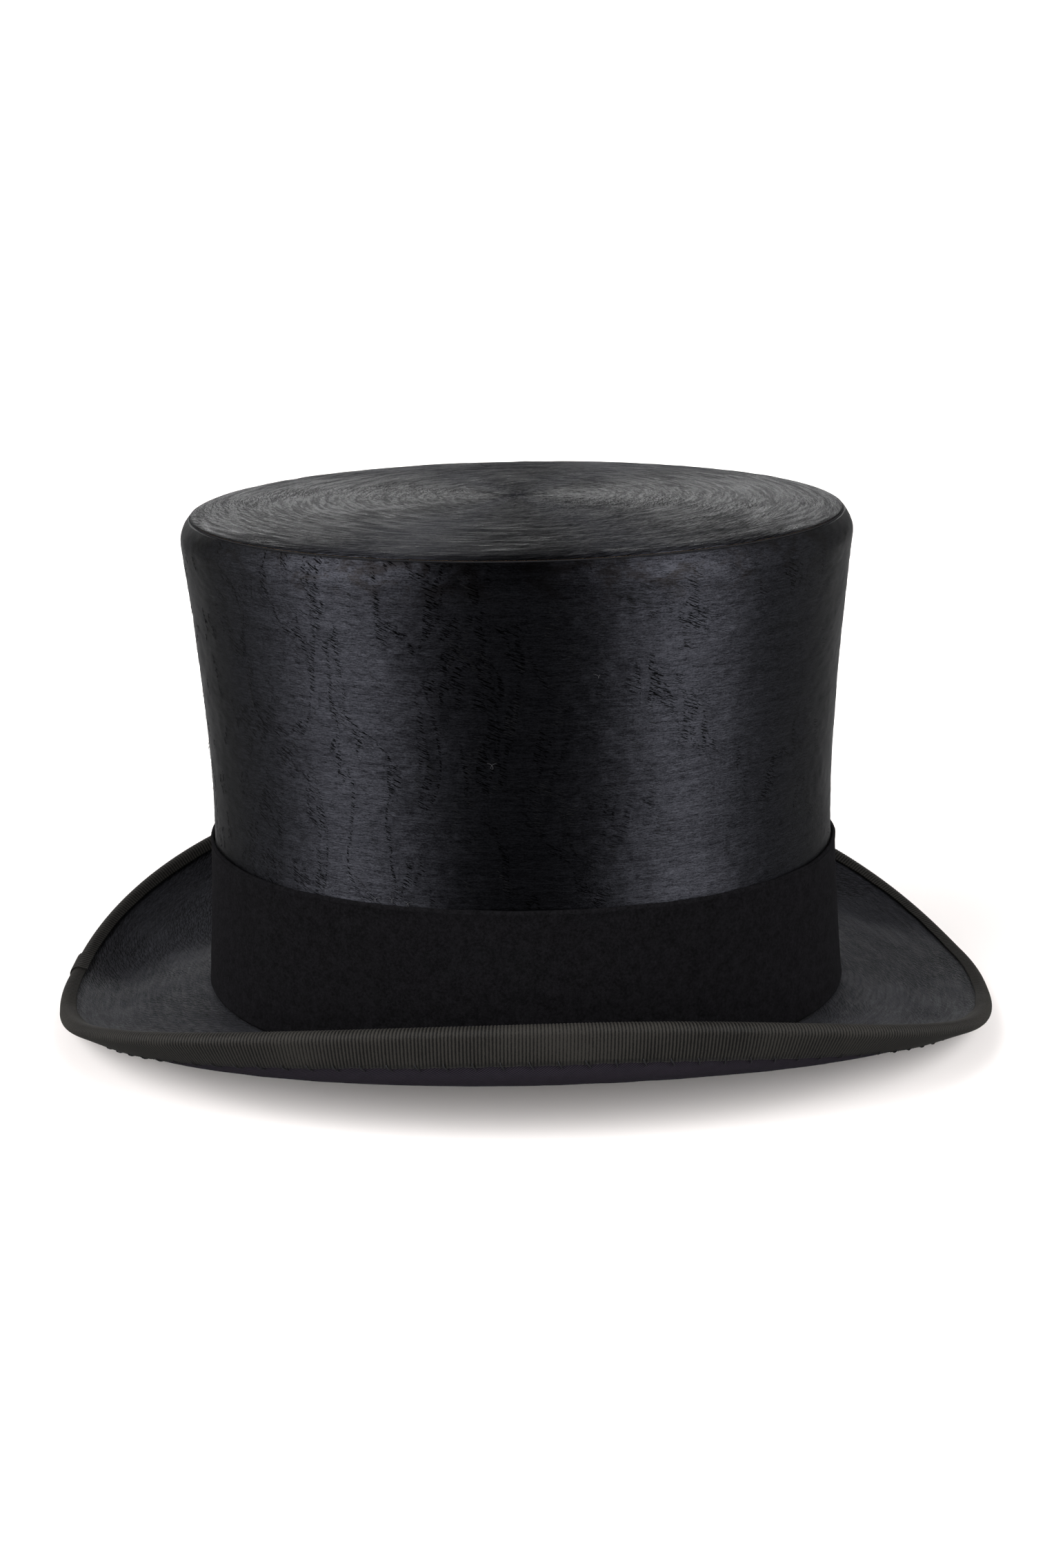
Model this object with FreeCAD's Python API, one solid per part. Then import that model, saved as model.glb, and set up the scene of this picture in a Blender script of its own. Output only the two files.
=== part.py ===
"""Plush top hat with a rigid shellacked-muslin body, cloth band and rolled, ribbon-bound brim.

Row frame, millimetres: +Z up, the wearer faces -Y, X = 0 is the hat's plane of symmetry.
The origin is under the middle of the hat, on the surface that it stands on.

Every layer follows the head oval, so every layer is made the same way: as rings of points round
the hat, skinned by periodic B-spline surfaces.
"""

import math
import os

import FreeCAD
import Part

V = FreeCAD.Vector

# Head oval at the foot of the crown, outside the plush: half length (Y) and half width (X).
OVAL_LENGTH = 103.6
OVAL_WIDTH = 90.6

# Crown wall. It is narrowest at the waist and flares towards the foot and towards the top.
# The sides flare less at the top than the front and back do.
HEADLINE_Z = 11.7
SADDLE_RISE = 2.6
WAIST_Z = 76.0
WAIST_IN = 3.6
TOP_OUT_ENDS = 2.3
TOP_OUT_SIDES = -0.9
FLARE_POWER = 1.6
TOP_ROLL = 4.1
TOP_ROLL_DEPTH = 8.1
CROWN_LEAN = math.tan(math.radians(1.2))
SEAM_Z = 165.1
SEAM_TILT = math.tan(math.radians(0.75))

# Crown tip. It rises steeply from the seam at its rim, then eases off to level halfway in.
RIM_RISE = 1.1
RIM_STEEPNESS = 48
TIP_RISE = 1.95
TIP_DOME = 0.6
RIM_SHARE = 0.06

# Depth of each layer of the wall inside the plush's outer face, and its thickness.
PLUSH = 1.2
SHELL_DEPTH = 1.25
SHELL = 1.8
LINING_DEPTH = 3.1
LINING = 0.25
LEATHER_DEPTH = 3.4
LEATHER = 1.0
ROBBIN_DEPTH = 0.15
ROBBIN = 1.0
BAND_DEPTH = -1.3
BAND = 1.25

# Heights above the headline.
ROBBIN_FOOT = -1.25
ROBBIN_TOP = 11.5
PLUSH_FOOT = 12.0
BAND_TOP = 48.5
LEATHER_FOOT = -2.2
LEATHER_TOP = 46.0
REED_TAPE_FOOT = -2.9
REED_TAPE_TOP = 6.0
BACKING_FOOT = 7.5
BACKING_TOP = 25.0
LINING_FOOT = 26.0
REED_RADIUS = 0.75
REED_DEPTH = 4.2

# Heights below the seam of the tip.
PLUSH_GAP = 0.8
LINING_DROP = 1.2
PIPING_DROP = 2.1
PIPING_RADIUS = 0.8
PIPING_DEPTH = 4.55
LINING_TIP_DEPTH = 3.9

# Brim profile: flat width, and the slope in degrees where it leaves the crown and at its edge.
BRIM_WIDTH_ENDS = 50.5
BRIM_WIDTH_SIDES = 46.0
SLOPE_IN = {"front": -11.5, "back": -13.6, "side": 22.7}
SLOPE_OUT = {"front": 6.1, "back": 15.9, "side": 88.8}
ROLL_POWER = {"front": 1.67, "back": 1.26}
ROLL_FROM = 0.451
ROLL_TO = 0.912
LEVEL_END = 0.1

# Brim layers, measured down from the top face of the binding.
BINDING = 0.5
BINDING_CLEARANCE = 0.08
BINDING_COVER = 10.5
BINDING_COVER_TOP = 4.8
JOIN_FROM = 80.4
JOIN_WIDTH = 3.6
JOIN_LIFT = 0.25
BRIM_PLUSH = 1.0
PLANK = 1.8
UNDER_CLOTH = 0.6
LAYER_GAP = 0.05
BAND_CLEARANCE = 0.15
PLUSH_TOP = BINDING + BINDING_CLEARANCE
PLANK_TOP = PLUSH_TOP + BRIM_PLUSH + LAYER_GAP
CLOTH_TOP = PLANK_TOP + PLANK + LAYER_GAP
CLOTH_FOOT = CLOTH_TOP + UNDER_CLOTH
BINDING_FOOT = CLOTH_FOOT + BINDING_CLEARANCE + BINDING

# How far short of the brim's edge each layer ends, inside the round of the binding.
PLANK_INSET = 1.0
CLOTH_INSET = 1.95

# The face of the crown's wall that each brim layer starts at, as a depth.
PLANK_START = SHELL_DEPTH - LAYER_GAP * 2
BRIM_PLUSH_START = -0.1
CLOTH_START = 2.95

# Threads.
BINDING_THREAD = 0.22
BINDING_STITCH_PITCH = 8.0
SEAM_THREAD = 0.3
SWEAT_THREAD = 0.25
SWEAT_STITCH_PITCH = 5.2
SWEAT_STITCH_LENGTH = 3.0
BAND_THREAD = 0.2
BAND_STITCHES = 11

# The ribbon bow that covers the sweatband's join, at the back.
BOW_RIBBON_WIDTH = 10.0
BOW_RIBBON = 0.3
BOW_LOOP_LENGTH = 11.0
BOW_LOOP_DEPTH = 2.6
BOW_HEIGHT = 9.0
BOW_KNOT = (4.6, 2.2, 7.6)
BOW_TILT = 3.5

# Sampling of the layers.
AROUND = 72
WALL_RINGS = 23
TOP_CROWDING = 1.8
BRIM_RINGS = 20
CAP_SHARE = 0.3
PROFILE_STEPS = 120


def smooth(share):
    """Rises from 0 to 1 without a kink as share goes from 0 to 1."""
    share = min(1.0, max(0.0, share))
    return share * share * (3 - 2 * share)


def around(count=AROUND):
    """Angles round the hat, from 0 at the wearer's left (+X) through the back (+Y)."""
    return [2 * math.pi * i / count for i in range(count)]


# ---- Skinning -------------------------------------------------------------------------------


def sharpen(points, closed):
    """Cubic B-spline poles whose curve runs through the points, to fourth order."""
    poles = []
    last = len(points) - 1
    for i, point in enumerate(points):
        if not closed and i in (0, last):
            poles.append(point)
            continue
        before = points[i - 1]
        after = points[(i + 1) % len(points)]
        poles.append(point - (before - point * 2 + after) * (1 / 6))
    return poles


def surface(rings, closed=True):
    """Face through rings. The rings are closed round the hat, or open strips of it."""
    grid = [sharpen(ring, closed) for ring in rings]
    if len(grid) > 3:
        columns = [sharpen(list(column), False) for column in zip(*grid)]
    else:
        columns = [list(column) for column in zip(*grid)]
    knots_along, mults_along, degree_along = open_knots(len(columns))
    if closed:
        knots_along = [i / len(columns) for i in range(len(columns) + 1)]
        mults_along = [1] * (len(columns) + 1)
        degree_along = 3
    knots_across, mults_across, degree_across = open_knots(len(columns[0]))
    skin = Part.BSplineSurface()
    skin.buildFromPolesMultsKnots(
        columns,
        mults_along,
        mults_across,
        knots_along,
        knots_across,
        closed,
        False,
        degree_along,
        degree_across,
    )
    return skin.toShape()


def open_knots(count):
    """Knots, multiplicities and degree of an open B-spline with this many poles."""
    degree = 3 if count > 3 else 1
    spans = count - degree
    return [i / spans for i in range(spans + 1)], [degree + 1] + [1] * (spans - 1) + [degree + 1], degree


def cap(ring):
    """Flat face inside a flat ring."""
    poles = sharpen(ring, True)
    turns = len(poles)
    curve = Part.BSplineCurve()
    curve.buildFromPolesMultsKnots(
        poles, [1] * (turns + 1), [i / turns for i in range(turns + 1)], True, 3
    )
    return Part.Face(Part.Wire([curve.toShape()]))


def solid_of(faces):
    """Closed solid with the given faces."""
    shell = Part.makeShell(faces)
    shell.sewShape(1e-4)
    body = Part.makeSolid(Part.Shell(shell.Faces))
    if body.Volume < 0:
        body.reverse()
    return body


def tube_layer(outer, inner):
    """Ring-shaped solid between two stacks of rings, joined by narrow edge faces."""
    return solid_of(
        [
            surface(outer),
            surface(inner),
            surface([outer[0], inner[0]]),
            surface([outer[-1], inner[-1]]),
        ]
    )


def dish_layer(outer, inner):
    """Dish-shaped solid between two stacks of rings, each closed by a flat cap on its last ring."""
    return solid_of(
        [
            surface(outer),
            surface(inner),
            surface([outer[0], inner[0]]),
            cap(outer[-1]),
            cap(inner[-1]),
        ]
    )


def patch_layer(outer, inner):
    """Solid between two stacks of open strips."""
    skins = [surface(outer, False), surface(inner, False)]
    ends = [surface([outer[i], inner[i]], False) for i in (0, -1)]
    sides = [surface([[r[i] for r in outer], [r[i] for r in inner]], False) for i in (0, -1)]
    return solid_of(skins + ends + sides)


def thread(points, radius):
    """Round thread through points, with square ends."""
    path = Part.Wire(Part.makePolygon(points))
    start = points[0]
    profile = Part.Wire(Part.makeCircle(radius, start, points[1] - start))
    return path.makePipeShell([profile], True, True, 1)


def cord_ring(centre, side, up, radius, corners=8):
    """Closed cord of round section along a ring. side and up give its section's axes."""
    rings = []
    for k in range(corners):
        turn = 2 * math.pi * k / corners
        rings.append(
            [
                c + s * (radius * math.cos(turn)) + u * (radius * math.sin(turn))
                for c, s, u in zip(centre, side, up)
            ]
        )
    faces = [surface([rings[k], rings[(k + 1) % corners]]) for k in range(corners)]
    return solid_of(faces)


# ---- Crown wall -----------------------------------------------------------------------------


def headline_z(angle):
    """The line where brim and crown meet dips at front and back."""
    return HEADLINE_Z + SADDLE_RISE * math.cos(angle) ** 2


def seam_z(angle):
    """Height of the seam between tip and side, which is lower at the back."""
    return SEAM_Z - SEAM_TILT * OVAL_LENGTH * math.sin(angle)


def wall_swell(z, top_out, seam):
    """How far the plush stands out from the head oval at a height."""
    if z < WAIST_Z:
        share = (WAIST_Z - z) / (WAIST_Z - HEADLINE_Z)
        return -WAIST_IN + WAIST_IN * share**FLARE_POWER
    share = (z - WAIST_Z) / (SEAM_Z - WAIST_Z)
    roll = max(0.0, 1 - (seam - z) / TOP_ROLL_DEPTH)
    return -WAIST_IN + (WAIST_IN + top_out) * share**FLARE_POWER - TOP_ROLL * roll**2


def wall_point(angle, z, depth):
    """Point of the crown wall, depth inside the plush's outer face."""
    seam = seam_z(angle)
    half_width = OVAL_WIDTH + wall_swell(z, TOP_OUT_SIDES, seam) - depth
    half_length = OVAL_LENGTH + wall_swell(z, TOP_OUT_ENDS, seam) - depth
    lean = CROWN_LEAN * (z - HEADLINE_Z)
    return V(half_width * math.cos(angle), half_length * math.sin(angle) + lean, z)


def wall_ring(level, depth):
    """Ring of the wall. level(angle) gives its height."""
    return [wall_point(a, level(a), depth) for a in around()]


def wall_rings(foot, top, depth, count=WALL_RINGS):
    """Rings of the wall between two levels, closer together towards the rolled top."""
    rings = []
    for i in range(count):
        share = 1 - (1 - i / (count - 1)) ** TOP_CROWDING
        rings.append(
            wall_ring(lambda a: foot(a) + (top(a) - foot(a)) * share, depth)
        )
    return rings


def above_headline(height):
    return lambda angle: headline_z(angle) + height


def below_seam(drop):
    return lambda angle: seam_z(angle) - drop


def wall_layer(foot, top, depth, thickness, count=WALL_RINGS):
    """Layer of the crown wall."""
    return tube_layer(
        wall_rings(foot, top, depth, count),
        wall_rings(foot, top, depth + thickness, count),
    )


def outward(angle):
    """Level unit vector straight out of the head oval."""
    out = V(math.cos(angle) / OVAL_WIDTH, math.sin(angle) / OVAL_LENGTH, 0)
    return out.normalize()


# ---- Crown tip ------------------------------------------------------------------------------


# Share of the way out from the middle of each ring of the tip.
TIP_SHARES = [1.0, 0.995, 0.987, 0.975, 0.96, 0.94, 0.91, 0.87, 0.81, 0.73, 0.63, 0.52, 0.4, CAP_SHARE]


def tip_height(share):
    """Height of the tip's outer face over the plane of its seam."""
    inward = 1 - share
    rim = RIM_RISE * (1 - math.exp(-RIM_STEEPNESS * inward))
    middle = TIP_RISE * (1 - (1 - min(1.0, 2 * inward)) ** 2)
    return rim + middle + TIP_DOME * (1 - max(share, CAP_SHARE) ** 2)


def tip_rings(depth, edge_depth, on_seam):
    """Rings of the tip from its edge in to the flat middle, depth under its outer face.

    A face that stands on the seam thins out to nothing at its edge.
    """
    y_mid = CROWN_LEAN * (SEAM_Z - HEADLINE_Z)

    def plane(y):
        return SEAM_Z - SEAM_TILT * (y - y_mid)

    rings = []
    for share in TIP_SHARES:
        inside = smooth((1 - share) / RIM_SHARE)
        ring = []
        for a in around():
            edge = wall_point(a, seam_z(a), edge_depth)
            rim = wall_point(a, seam_z(a), 0.0)
            reach = math.hypot(edge.x, edge.y - y_mid) / math.hypot(rim.x, rim.y - y_mid)
            y = y_mid + (edge.y - y_mid) * share
            sunk = depth
            if on_seam:
                start = tip_height(reach) - (edge.z - plane(edge.y))
                sunk = start * (1 - inside) + depth * inside
            ring.append(V(edge.x * share, y, plane(y) + tip_height(share * reach) - sunk))
        rings.append(ring)
    return rings


def tip_layer(depth, thickness):
    """Layer of the crown's tip, rounded down to the seam at its rim."""
    return dish_layer(
        tip_rings(depth, depth, True),
        tip_rings(depth + thickness, depth + thickness, True),
    )


def flat_tip_layer(depth, edge_depth, thickness):
    """Layer under the crown's tip, which keeps its depth all the way to its edge."""
    return dish_layer(
        tip_rings(depth, edge_depth, False),
        tip_rings(depth + thickness, edge_depth, False),
    )


# ---- Brim -----------------------------------------------------------------------------------


def brim_profile(angle):
    """Brim section at an angle: a function of flat distance, giving reach, rise and slope."""
    end = "back" if math.sin(angle) > 0 else "front"
    side_share = abs(math.cos(angle))
    roll = max(0.0, (side_share - LEVEL_END) / (1 - LEVEL_END)) ** ROLL_POWER[end]
    width = BRIM_WIDTH_ENDS + (BRIM_WIDTH_SIDES - BRIM_WIDTH_ENDS) * side_share**2
    inner = SLOPE_IN[end] + (SLOPE_IN["side"] - SLOPE_IN[end]) * roll
    outer = SLOPE_OUT[end] + (SLOPE_OUT["side"] - SLOPE_OUT[end]) * roll

    def slope(distance):
        share = (distance / width - ROLL_FROM) / (ROLL_TO - ROLL_FROM)
        return math.radians(inner + (outer - inner) * smooth(share))

    step = width / PROFILE_STEPS
    reach = [0.0]
    rise = [0.0]
    for i in range(PROFILE_STEPS):
        middle = slope((i + 0.5) * step)
        reach.append(reach[-1] + math.cos(middle) * step)
        rise.append(rise[-1] + math.sin(middle) * step)

    def at(distance):
        place = distance / step
        i = min(PROFILE_STEPS - 1, max(0, int(math.floor(place))))
        part = place - i
        return (
            reach[i] + (reach[i + 1] - reach[i]) * part,
            rise[i] + (rise[i + 1] - rise[i]) * part,
            slope(max(0.0, distance)),
        )

    return width, at


PROFILES = {}


def profile(angle):
    """The brim section at an angle, kept for the next layer."""
    if angle not in PROFILES:
        PROFILES[angle] = brim_profile(angle)
    return PROFILES[angle]


def brim_point(angle, distance, depth, from_edge=False):
    """Point of the brim and the unit vector out of its top face."""
    width, at = profile(angle)
    reach, rise, slope = at(width - distance if from_edge else distance)
    foot = V(OVAL_WIDTH * math.cos(angle), OVAL_LENGTH * math.sin(angle), headline_z(angle))
    out = outward(angle)
    normal = V(-out.x * math.sin(slope), -out.y * math.sin(slope), math.cos(slope))
    return foot + out * reach + V(0, 0, rise) - normal * depth, normal


def brim_start(angle, wall_depth, depth):
    """Flat distance at which a face of the brim meets the crown wall's face at wall_depth."""
    _, at = profile(angle)
    slope = at(0)[2]
    z = headline_z(angle) - depth * math.cos(slope) - wall_depth * math.sin(slope)
    out = wall_swell(z, TOP_OUT_ENDS, SEAM_Z) - wall_depth
    return (out - depth * math.sin(slope)) / math.cos(slope)


def brim_rings(wall_depth, edge_inset, depth):
    """Rings of the brim from the crown wall's face at wall_depth to edge_inset short of its edge."""
    rings = []
    for i in range(BRIM_RINGS):
        share = i / (BRIM_RINGS - 1)
        ring = []
        for a in around():
            start = brim_start(a, wall_depth, depth)
            distance = start + (profile(a)[0] - edge_inset - start) * share
            ring.append(brim_point(a, distance, depth)[0])
        rings.append(ring)
    return rings


def brim_layer(wall_depth, edge_inset, depth, thickness):
    """Layer of the brim."""
    return tube_layer(
        brim_rings(wall_depth, edge_inset, depth),
        brim_rings(wall_depth, edge_inset, depth + thickness),
    )


def fold_rings(top, foot, inset, angles, turns=7):
    """Rings of a ribbon face that wraps the brim's edge: along the top, round it, and back."""
    radius = (foot - top) / 2
    bend = inset + radius

    def leg(cover, depth):
        reach = [bend + (cover - bend) * (1 - i / 4) for i in range(5)]
        return [[brim_point(a, inward, depth, True)[0] for a in angles] for inward in reach]

    rings = leg(BINDING_COVER_TOP, top)
    for k in range(1, turns):
        turn = math.pi * k / turns
        ring = []
        for a in angles:
            centre, normal = brim_point(a, bend, (top + foot) / 2, True)
            ahead, _ = brim_point(a, bend - 0.5, (top + foot) / 2, True)
            forward = (ahead - centre).normalize()
            ring.append(centre + (forward * math.sin(turn) + normal * math.cos(turn)) * radius)
        rings.append(ring)
    return rings + leg(BINDING_COVER, foot)[::-1]


def binding():
    """Ribbon folded over the brim's edge."""
    outer = fold_rings(0.0, BINDING_FOOT, 0.0, around())
    inner = fold_rings(BINDING, BINDING_FOOT - BINDING, BINDING, around())
    return tube_layer(outer, inner)


def binding_join():
    """Turned-under end of the ribbon, lapped over its start at the back."""
    angles = [math.radians(JOIN_FROM + JOIN_WIDTH * i / 4) for i in range(5)]
    top = -JOIN_LIFT
    foot = BINDING_FOOT + JOIN_LIFT
    outer = fold_rings(top - BINDING, foot + BINDING, -JOIN_LIFT - BINDING, angles)
    inner = fold_rings(top, foot, -JOIN_LIFT, angles)
    return patch_layer(outer, inner)


# ---- Cords, threads and small parts ---------------------------------------------------------


def ring_cord(centres, radius):
    """Round cord along a ring of points that follows the head oval."""
    side = [outward(a) for a in around()]
    up = [V(0, 0, 1)] * AROUND
    return cord_ring(centres, side, up, radius)


def even_angles(ring_point, pitch):
    """Angles that space points evenly round the hat along ring_point(angle)."""
    fine = around(720)
    points = [ring_point(a) for a in fine]
    lengths = [0.0]
    for i in range(720):
        lengths.append(lengths[-1] + (points[(i + 1) % 720] - points[i]).Length)
    count = round(lengths[-1] / pitch)
    angles = []
    i = 0
    for k in range(count):
        goal = lengths[-1] * k / count
        while lengths[i + 1] < goal:
            i += 1
        part = (goal - lengths[i]) / (lengths[i + 1] - lengths[i])
        angles.append(2 * math.pi * (i + part) / 720)
    return angles


def binding_stitches():
    """Hand stitches that catch the ribbon's lower edge to the under-brim cloth."""

    def edge(angle, cover, depth):
        return brim_point(angle, cover, depth, True)[0]

    on_ribbon = BINDING_FOOT + BINDING_THREAD + 0.08
    on_cloth = CLOTH_FOOT + BINDING_THREAD + 0.08
    lean = math.radians(0.25)
    stitches = []
    for a in even_angles(lambda a: edge(a, BINDING_COVER, BINDING_FOOT), BINDING_STITCH_PITCH):
        if -2 < math.degrees(a) - JOIN_FROM < JOIN_WIDTH + 2:
            continue
        points = [
            edge(a - lean, BINDING_COVER - 1.1, on_ribbon),
            edge(a, BINDING_COVER + 0.3, on_ribbon),
            edge(a + lean / 2, BINDING_COVER + 0.75, on_cloth),
            edge(a + lean, BINDING_COVER + 1.4, on_cloth),
        ]
        stitches.append(thread(points, BINDING_THREAD))
    return Part.makeCompound(stitches)


def sweatband_stitches():
    """Running stitches through the leather's foot and the reed's tape."""
    depth = LEATHER_DEPTH + LEATHER + SWEAT_THREAD + 0.02

    def at(angle):
        return wall_point(angle, headline_z(angle) - 0.9, depth)

    stitches = []
    for a in even_angles(at, SWEAT_STITCH_PITCH):
        half = SWEAT_STITCH_LENGTH / 2 / (at(a + 0.01) - at(a)).Length * 0.01
        stitches.append(thread([at(a - half), at(a), at(a + half)], SWEAT_THREAD))
    return Part.makeCompound(stitches)


def band_join_stitches():
    """Slanted stitches that close the cloth band's ends edge to edge, on the wearer's left."""
    depth = BAND_DEPTH - BAND_THREAD - 0.02
    stitches = []
    for i in range(BAND_STITCHES):
        height = 3.0 + (BAND_TOP - 6.0) * i / (BAND_STITCHES - 1)
        z = headline_z(0) + height
        ends = (wall_point(-0.012, z - 0.9, depth), wall_point(0.012, z + 0.9, depth))
        stitches.append(thread(list(ends), BAND_THREAD))
    return Part.makeCompound(stitches)


def rear_patch(foot, top, depth, thickness, half_angle):
    """Piece of a wall layer across the middle of the back."""
    angles = [math.pi / 2 + half_angle * (i / 2 - 1) for i in range(5)]
    skins = []
    for d in (depth, depth + thickness):
        skins.append(
            [
                [wall_point(a, headline_z(a) + foot + (top - foot) * i / 6, d) for a in angles]
                for i in range(7)
            ]
        )
    return patch_layer(skins[0], skins[1])


def sweatband_bow():
    """Flat ribbon bow on the leather at the back: two loops and a knot."""
    z = headline_z(math.pi / 2) + BOW_HEIGHT
    leather = wall_point(math.pi / 2, z, LEATHER_DEPTH + LEATHER)
    half_knot = BOW_KNOT[0] / 2
    knot = Part.makeBox(*BOW_KNOT, leather + V(-half_knot, -BOW_KNOT[1] - 0.15, -BOW_KNOT[2] / 2))
    knot = knot.makeFillet(0.8, knot.Edges)
    loops = []
    for side in (-1, 1):
        start = half_knot + 0.15
        bulge = BOW_LOOP_DEPTH / 2
        loop = []
        for inset in (0.0, BOW_RIBBON):
            points = []
            for k in range(24):
                turn = 2 * math.pi * k / 24
                reach = start + BOW_LOOP_LENGTH / 2
                x = reach - (BOW_LOOP_LENGTH / 2 - inset) * math.cos(turn)
                narrow = 0.45 + 0.55 * (x - start) / BOW_LOOP_LENGTH
                sag = 0.0067 * x * x
                y = -0.35 - bulge - (bulge * narrow - inset) * math.sin(turn) - sag
                points.append(leather + V(side * x, y, -BOW_RIBBON_WIDTH / 2))
            curve = Part.BSplineCurve()
            curve.interpolate(points, PeriodicFlag=True)
            loop.append(Part.Face(Part.Wire([curve.toShape()])))
        solids = [face.extrude(V(0, 0, BOW_RIBBON_WIDTH)) for face in loop]
        loops.append(solids[0].cut(solids[1]))
    bow = Part.makeCompound(loops + [knot])
    bow.rotate(leather, V(1, 0, 0), BOW_TILT)
    return bow


# ---- The hat's sub-parts --------------------------------------------------------------------


def shell_foot(angle):
    """The wall's rigid layer ends level with the underside of the brim's."""
    starts = [brim_start(angle, d, CLOTH_TOP) for d in (SHELL_DEPTH, SHELL_DEPTH + SHELL)]
    return max(brim_point(angle, start, CLOTH_TOP)[0].z for start in starts) + LAYER_GAP


def band_foot(angle):
    """The band stands just clear of the brim's plush."""
    starts = [brim_start(angle, d, PLUSH_TOP) for d in (BAND_DEPTH, BAND_DEPTH + BAND)]
    return max(brim_point(angle, start, PLUSH_TOP)[0].z for start in starts) + BAND_CLEARANCE


def save(name, shape):
    """Writes one sub-part."""
    shape.exportStep(os.path.join("parts", name + ".step"))
    box = shape.BoundBox
    state = "" if shape.isValid() else "NOT VALID"
    print(
        f"{name:20s} {len(shape.Solids):3d} solids {shape.Volume:9.1f} mm3 "
        f"z {box.ZMin:7.2f} {box.ZMax:7.2f} x {box.XMax:7.2f} y {box.YMin:8.2f} {box.YMax:7.2f}",
        state,
    )


def main():
    """Builds and writes every sub-part."""
    os.makedirs("parts", exist_ok=True)
    headline = above_headline

    # Rigid body.
    save("crown_side_shell", wall_layer(shell_foot, below_seam(LAYER_GAP), SHELL_DEPTH, SHELL))
    save("crown_tip_shell", tip_layer(SHELL_DEPTH, SHELL))
    save("brim_shell", brim_layer(PLANK_START, PLANK_INSET, PLANK_TOP, PLANK))
    save(
        "headline_robbin",
        wall_layer(headline(ROBBIN_FOOT), headline(ROBBIN_TOP), ROBBIN_DEPTH, ROBBIN, 5),
    )

    # Outer covering.
    save("side_plush", wall_layer(headline(PLUSH_FOOT), below_seam(PLUSH_GAP), 0.0, PLUSH))
    save("tip_plush", tip_layer(0.0, PLUSH))
    seam = [wall_point(a, seam_z(a) - PLUSH_GAP / 2, SEAM_THREAD + 0.1) for a in around()]
    save("tip_seam_thread", ring_cord(seam, SEAM_THREAD))
    save("upper_brim_plush", brim_layer(BRIM_PLUSH_START, CLOTH_INSET, PLUSH_TOP, BRIM_PLUSH))
    save("under_brim_cloth", brim_layer(CLOTH_START, CLOTH_INSET, CLOTH_TOP, UNDER_CLOTH))

    # Trimming.
    save("hat_band", wall_layer(band_foot, headline(BAND_TOP), BAND_DEPTH, BAND))
    save("band_join_stitches", band_join_stitches())
    save("brim_binding", binding())
    save("binding_join", binding_join())
    save("binding_stitches", binding_stitches())

    # Head fittings.
    save(
        "sweatband",
        wall_layer(headline(LEATHER_FOOT), headline(LEATHER_TOP), LEATHER_DEPTH, LEATHER),
    )
    reed_z = LEATHER_FOOT - REED_RADIUS - LAYER_GAP
    reed = [wall_point(a, headline_z(a) + reed_z, REED_DEPTH) for a in around()]
    save("sweatband_reed", ring_cord(reed, REED_RADIUS))
    save(
        "reed_tape",
        wall_layer(headline(REED_TAPE_FOOT), headline(REED_TAPE_TOP), LINING_DEPTH, LINING, 5),
    )
    save("sweatband_backing", rear_patch(BACKING_FOOT, BACKING_TOP, LINING_DEPTH, LINING, 0.07))
    save("sweatband_stitches", sweatband_stitches())
    save("sweatband_bow", sweatband_bow())

    # Lining.
    save(
        "lining_side",
        wall_layer(headline(LINING_FOOT), below_seam(LINING_DROP), LINING_DEPTH, LINING),
    )
    save("lining_tip", flat_tip_layer(SHELL_DEPTH + SHELL + 0.1, LINING_TIP_DEPTH, LINING))
    piping = [wall_point(a, seam_z(a) - PIPING_DROP, PIPING_DEPTH) for a in around()]
    save("lining_piping", ring_cord(piping, PIPING_RADIUS))


main()
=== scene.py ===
"""Looks of the plush top hat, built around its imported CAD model.

Lengths in the shape code are millimetres in the CAD's row frame: +Z up, the wearer faces -Y.
mesh_piece() turns them into Blender's metres.
"""

import math

import bpy
import numpy as np
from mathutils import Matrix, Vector


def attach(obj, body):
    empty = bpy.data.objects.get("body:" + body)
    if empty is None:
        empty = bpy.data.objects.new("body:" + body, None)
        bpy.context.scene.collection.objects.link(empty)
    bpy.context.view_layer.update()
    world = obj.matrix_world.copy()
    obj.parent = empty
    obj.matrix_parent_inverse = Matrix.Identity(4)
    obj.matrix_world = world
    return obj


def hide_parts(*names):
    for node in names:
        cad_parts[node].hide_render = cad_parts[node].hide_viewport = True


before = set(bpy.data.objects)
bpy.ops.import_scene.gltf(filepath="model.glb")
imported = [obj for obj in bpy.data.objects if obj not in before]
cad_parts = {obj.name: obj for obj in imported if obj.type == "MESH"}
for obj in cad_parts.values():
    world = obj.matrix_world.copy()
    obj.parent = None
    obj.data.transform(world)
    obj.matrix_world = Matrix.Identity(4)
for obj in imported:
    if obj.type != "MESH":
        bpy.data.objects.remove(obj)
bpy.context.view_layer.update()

MM = 0.001
TURN = 2 * math.pi

# ---- The hat's shape, as in the CAD model -----------------------------------------------------

OVAL_LENGTH, OVAL_WIDTH = 103.6, 90.6
HEADLINE_Z, SADDLE_RISE = 11.7, 2.6
WAIST_Z, WAIST_IN = 76.0, 3.6
TOP_OUT_ENDS, TOP_OUT_SIDES = 2.3, -0.9
FLARE_POWER = 1.6
TOP_ROLL, TOP_ROLL_DEPTH = 4.1, 8.1
CROWN_LEAN = math.tan(math.radians(1.2))
SEAM_Z, SEAM_TILT = 165.1, math.tan(math.radians(0.75))
RIM_RISE, RIM_STEEPNESS, RIM_SHARE = 1.1, 48, 0.06
TIP_RISE, TIP_DOME, CAP_SHARE = 1.95, 0.6, 0.3
LINING_TIP_DEPTH = 3.9

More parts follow.
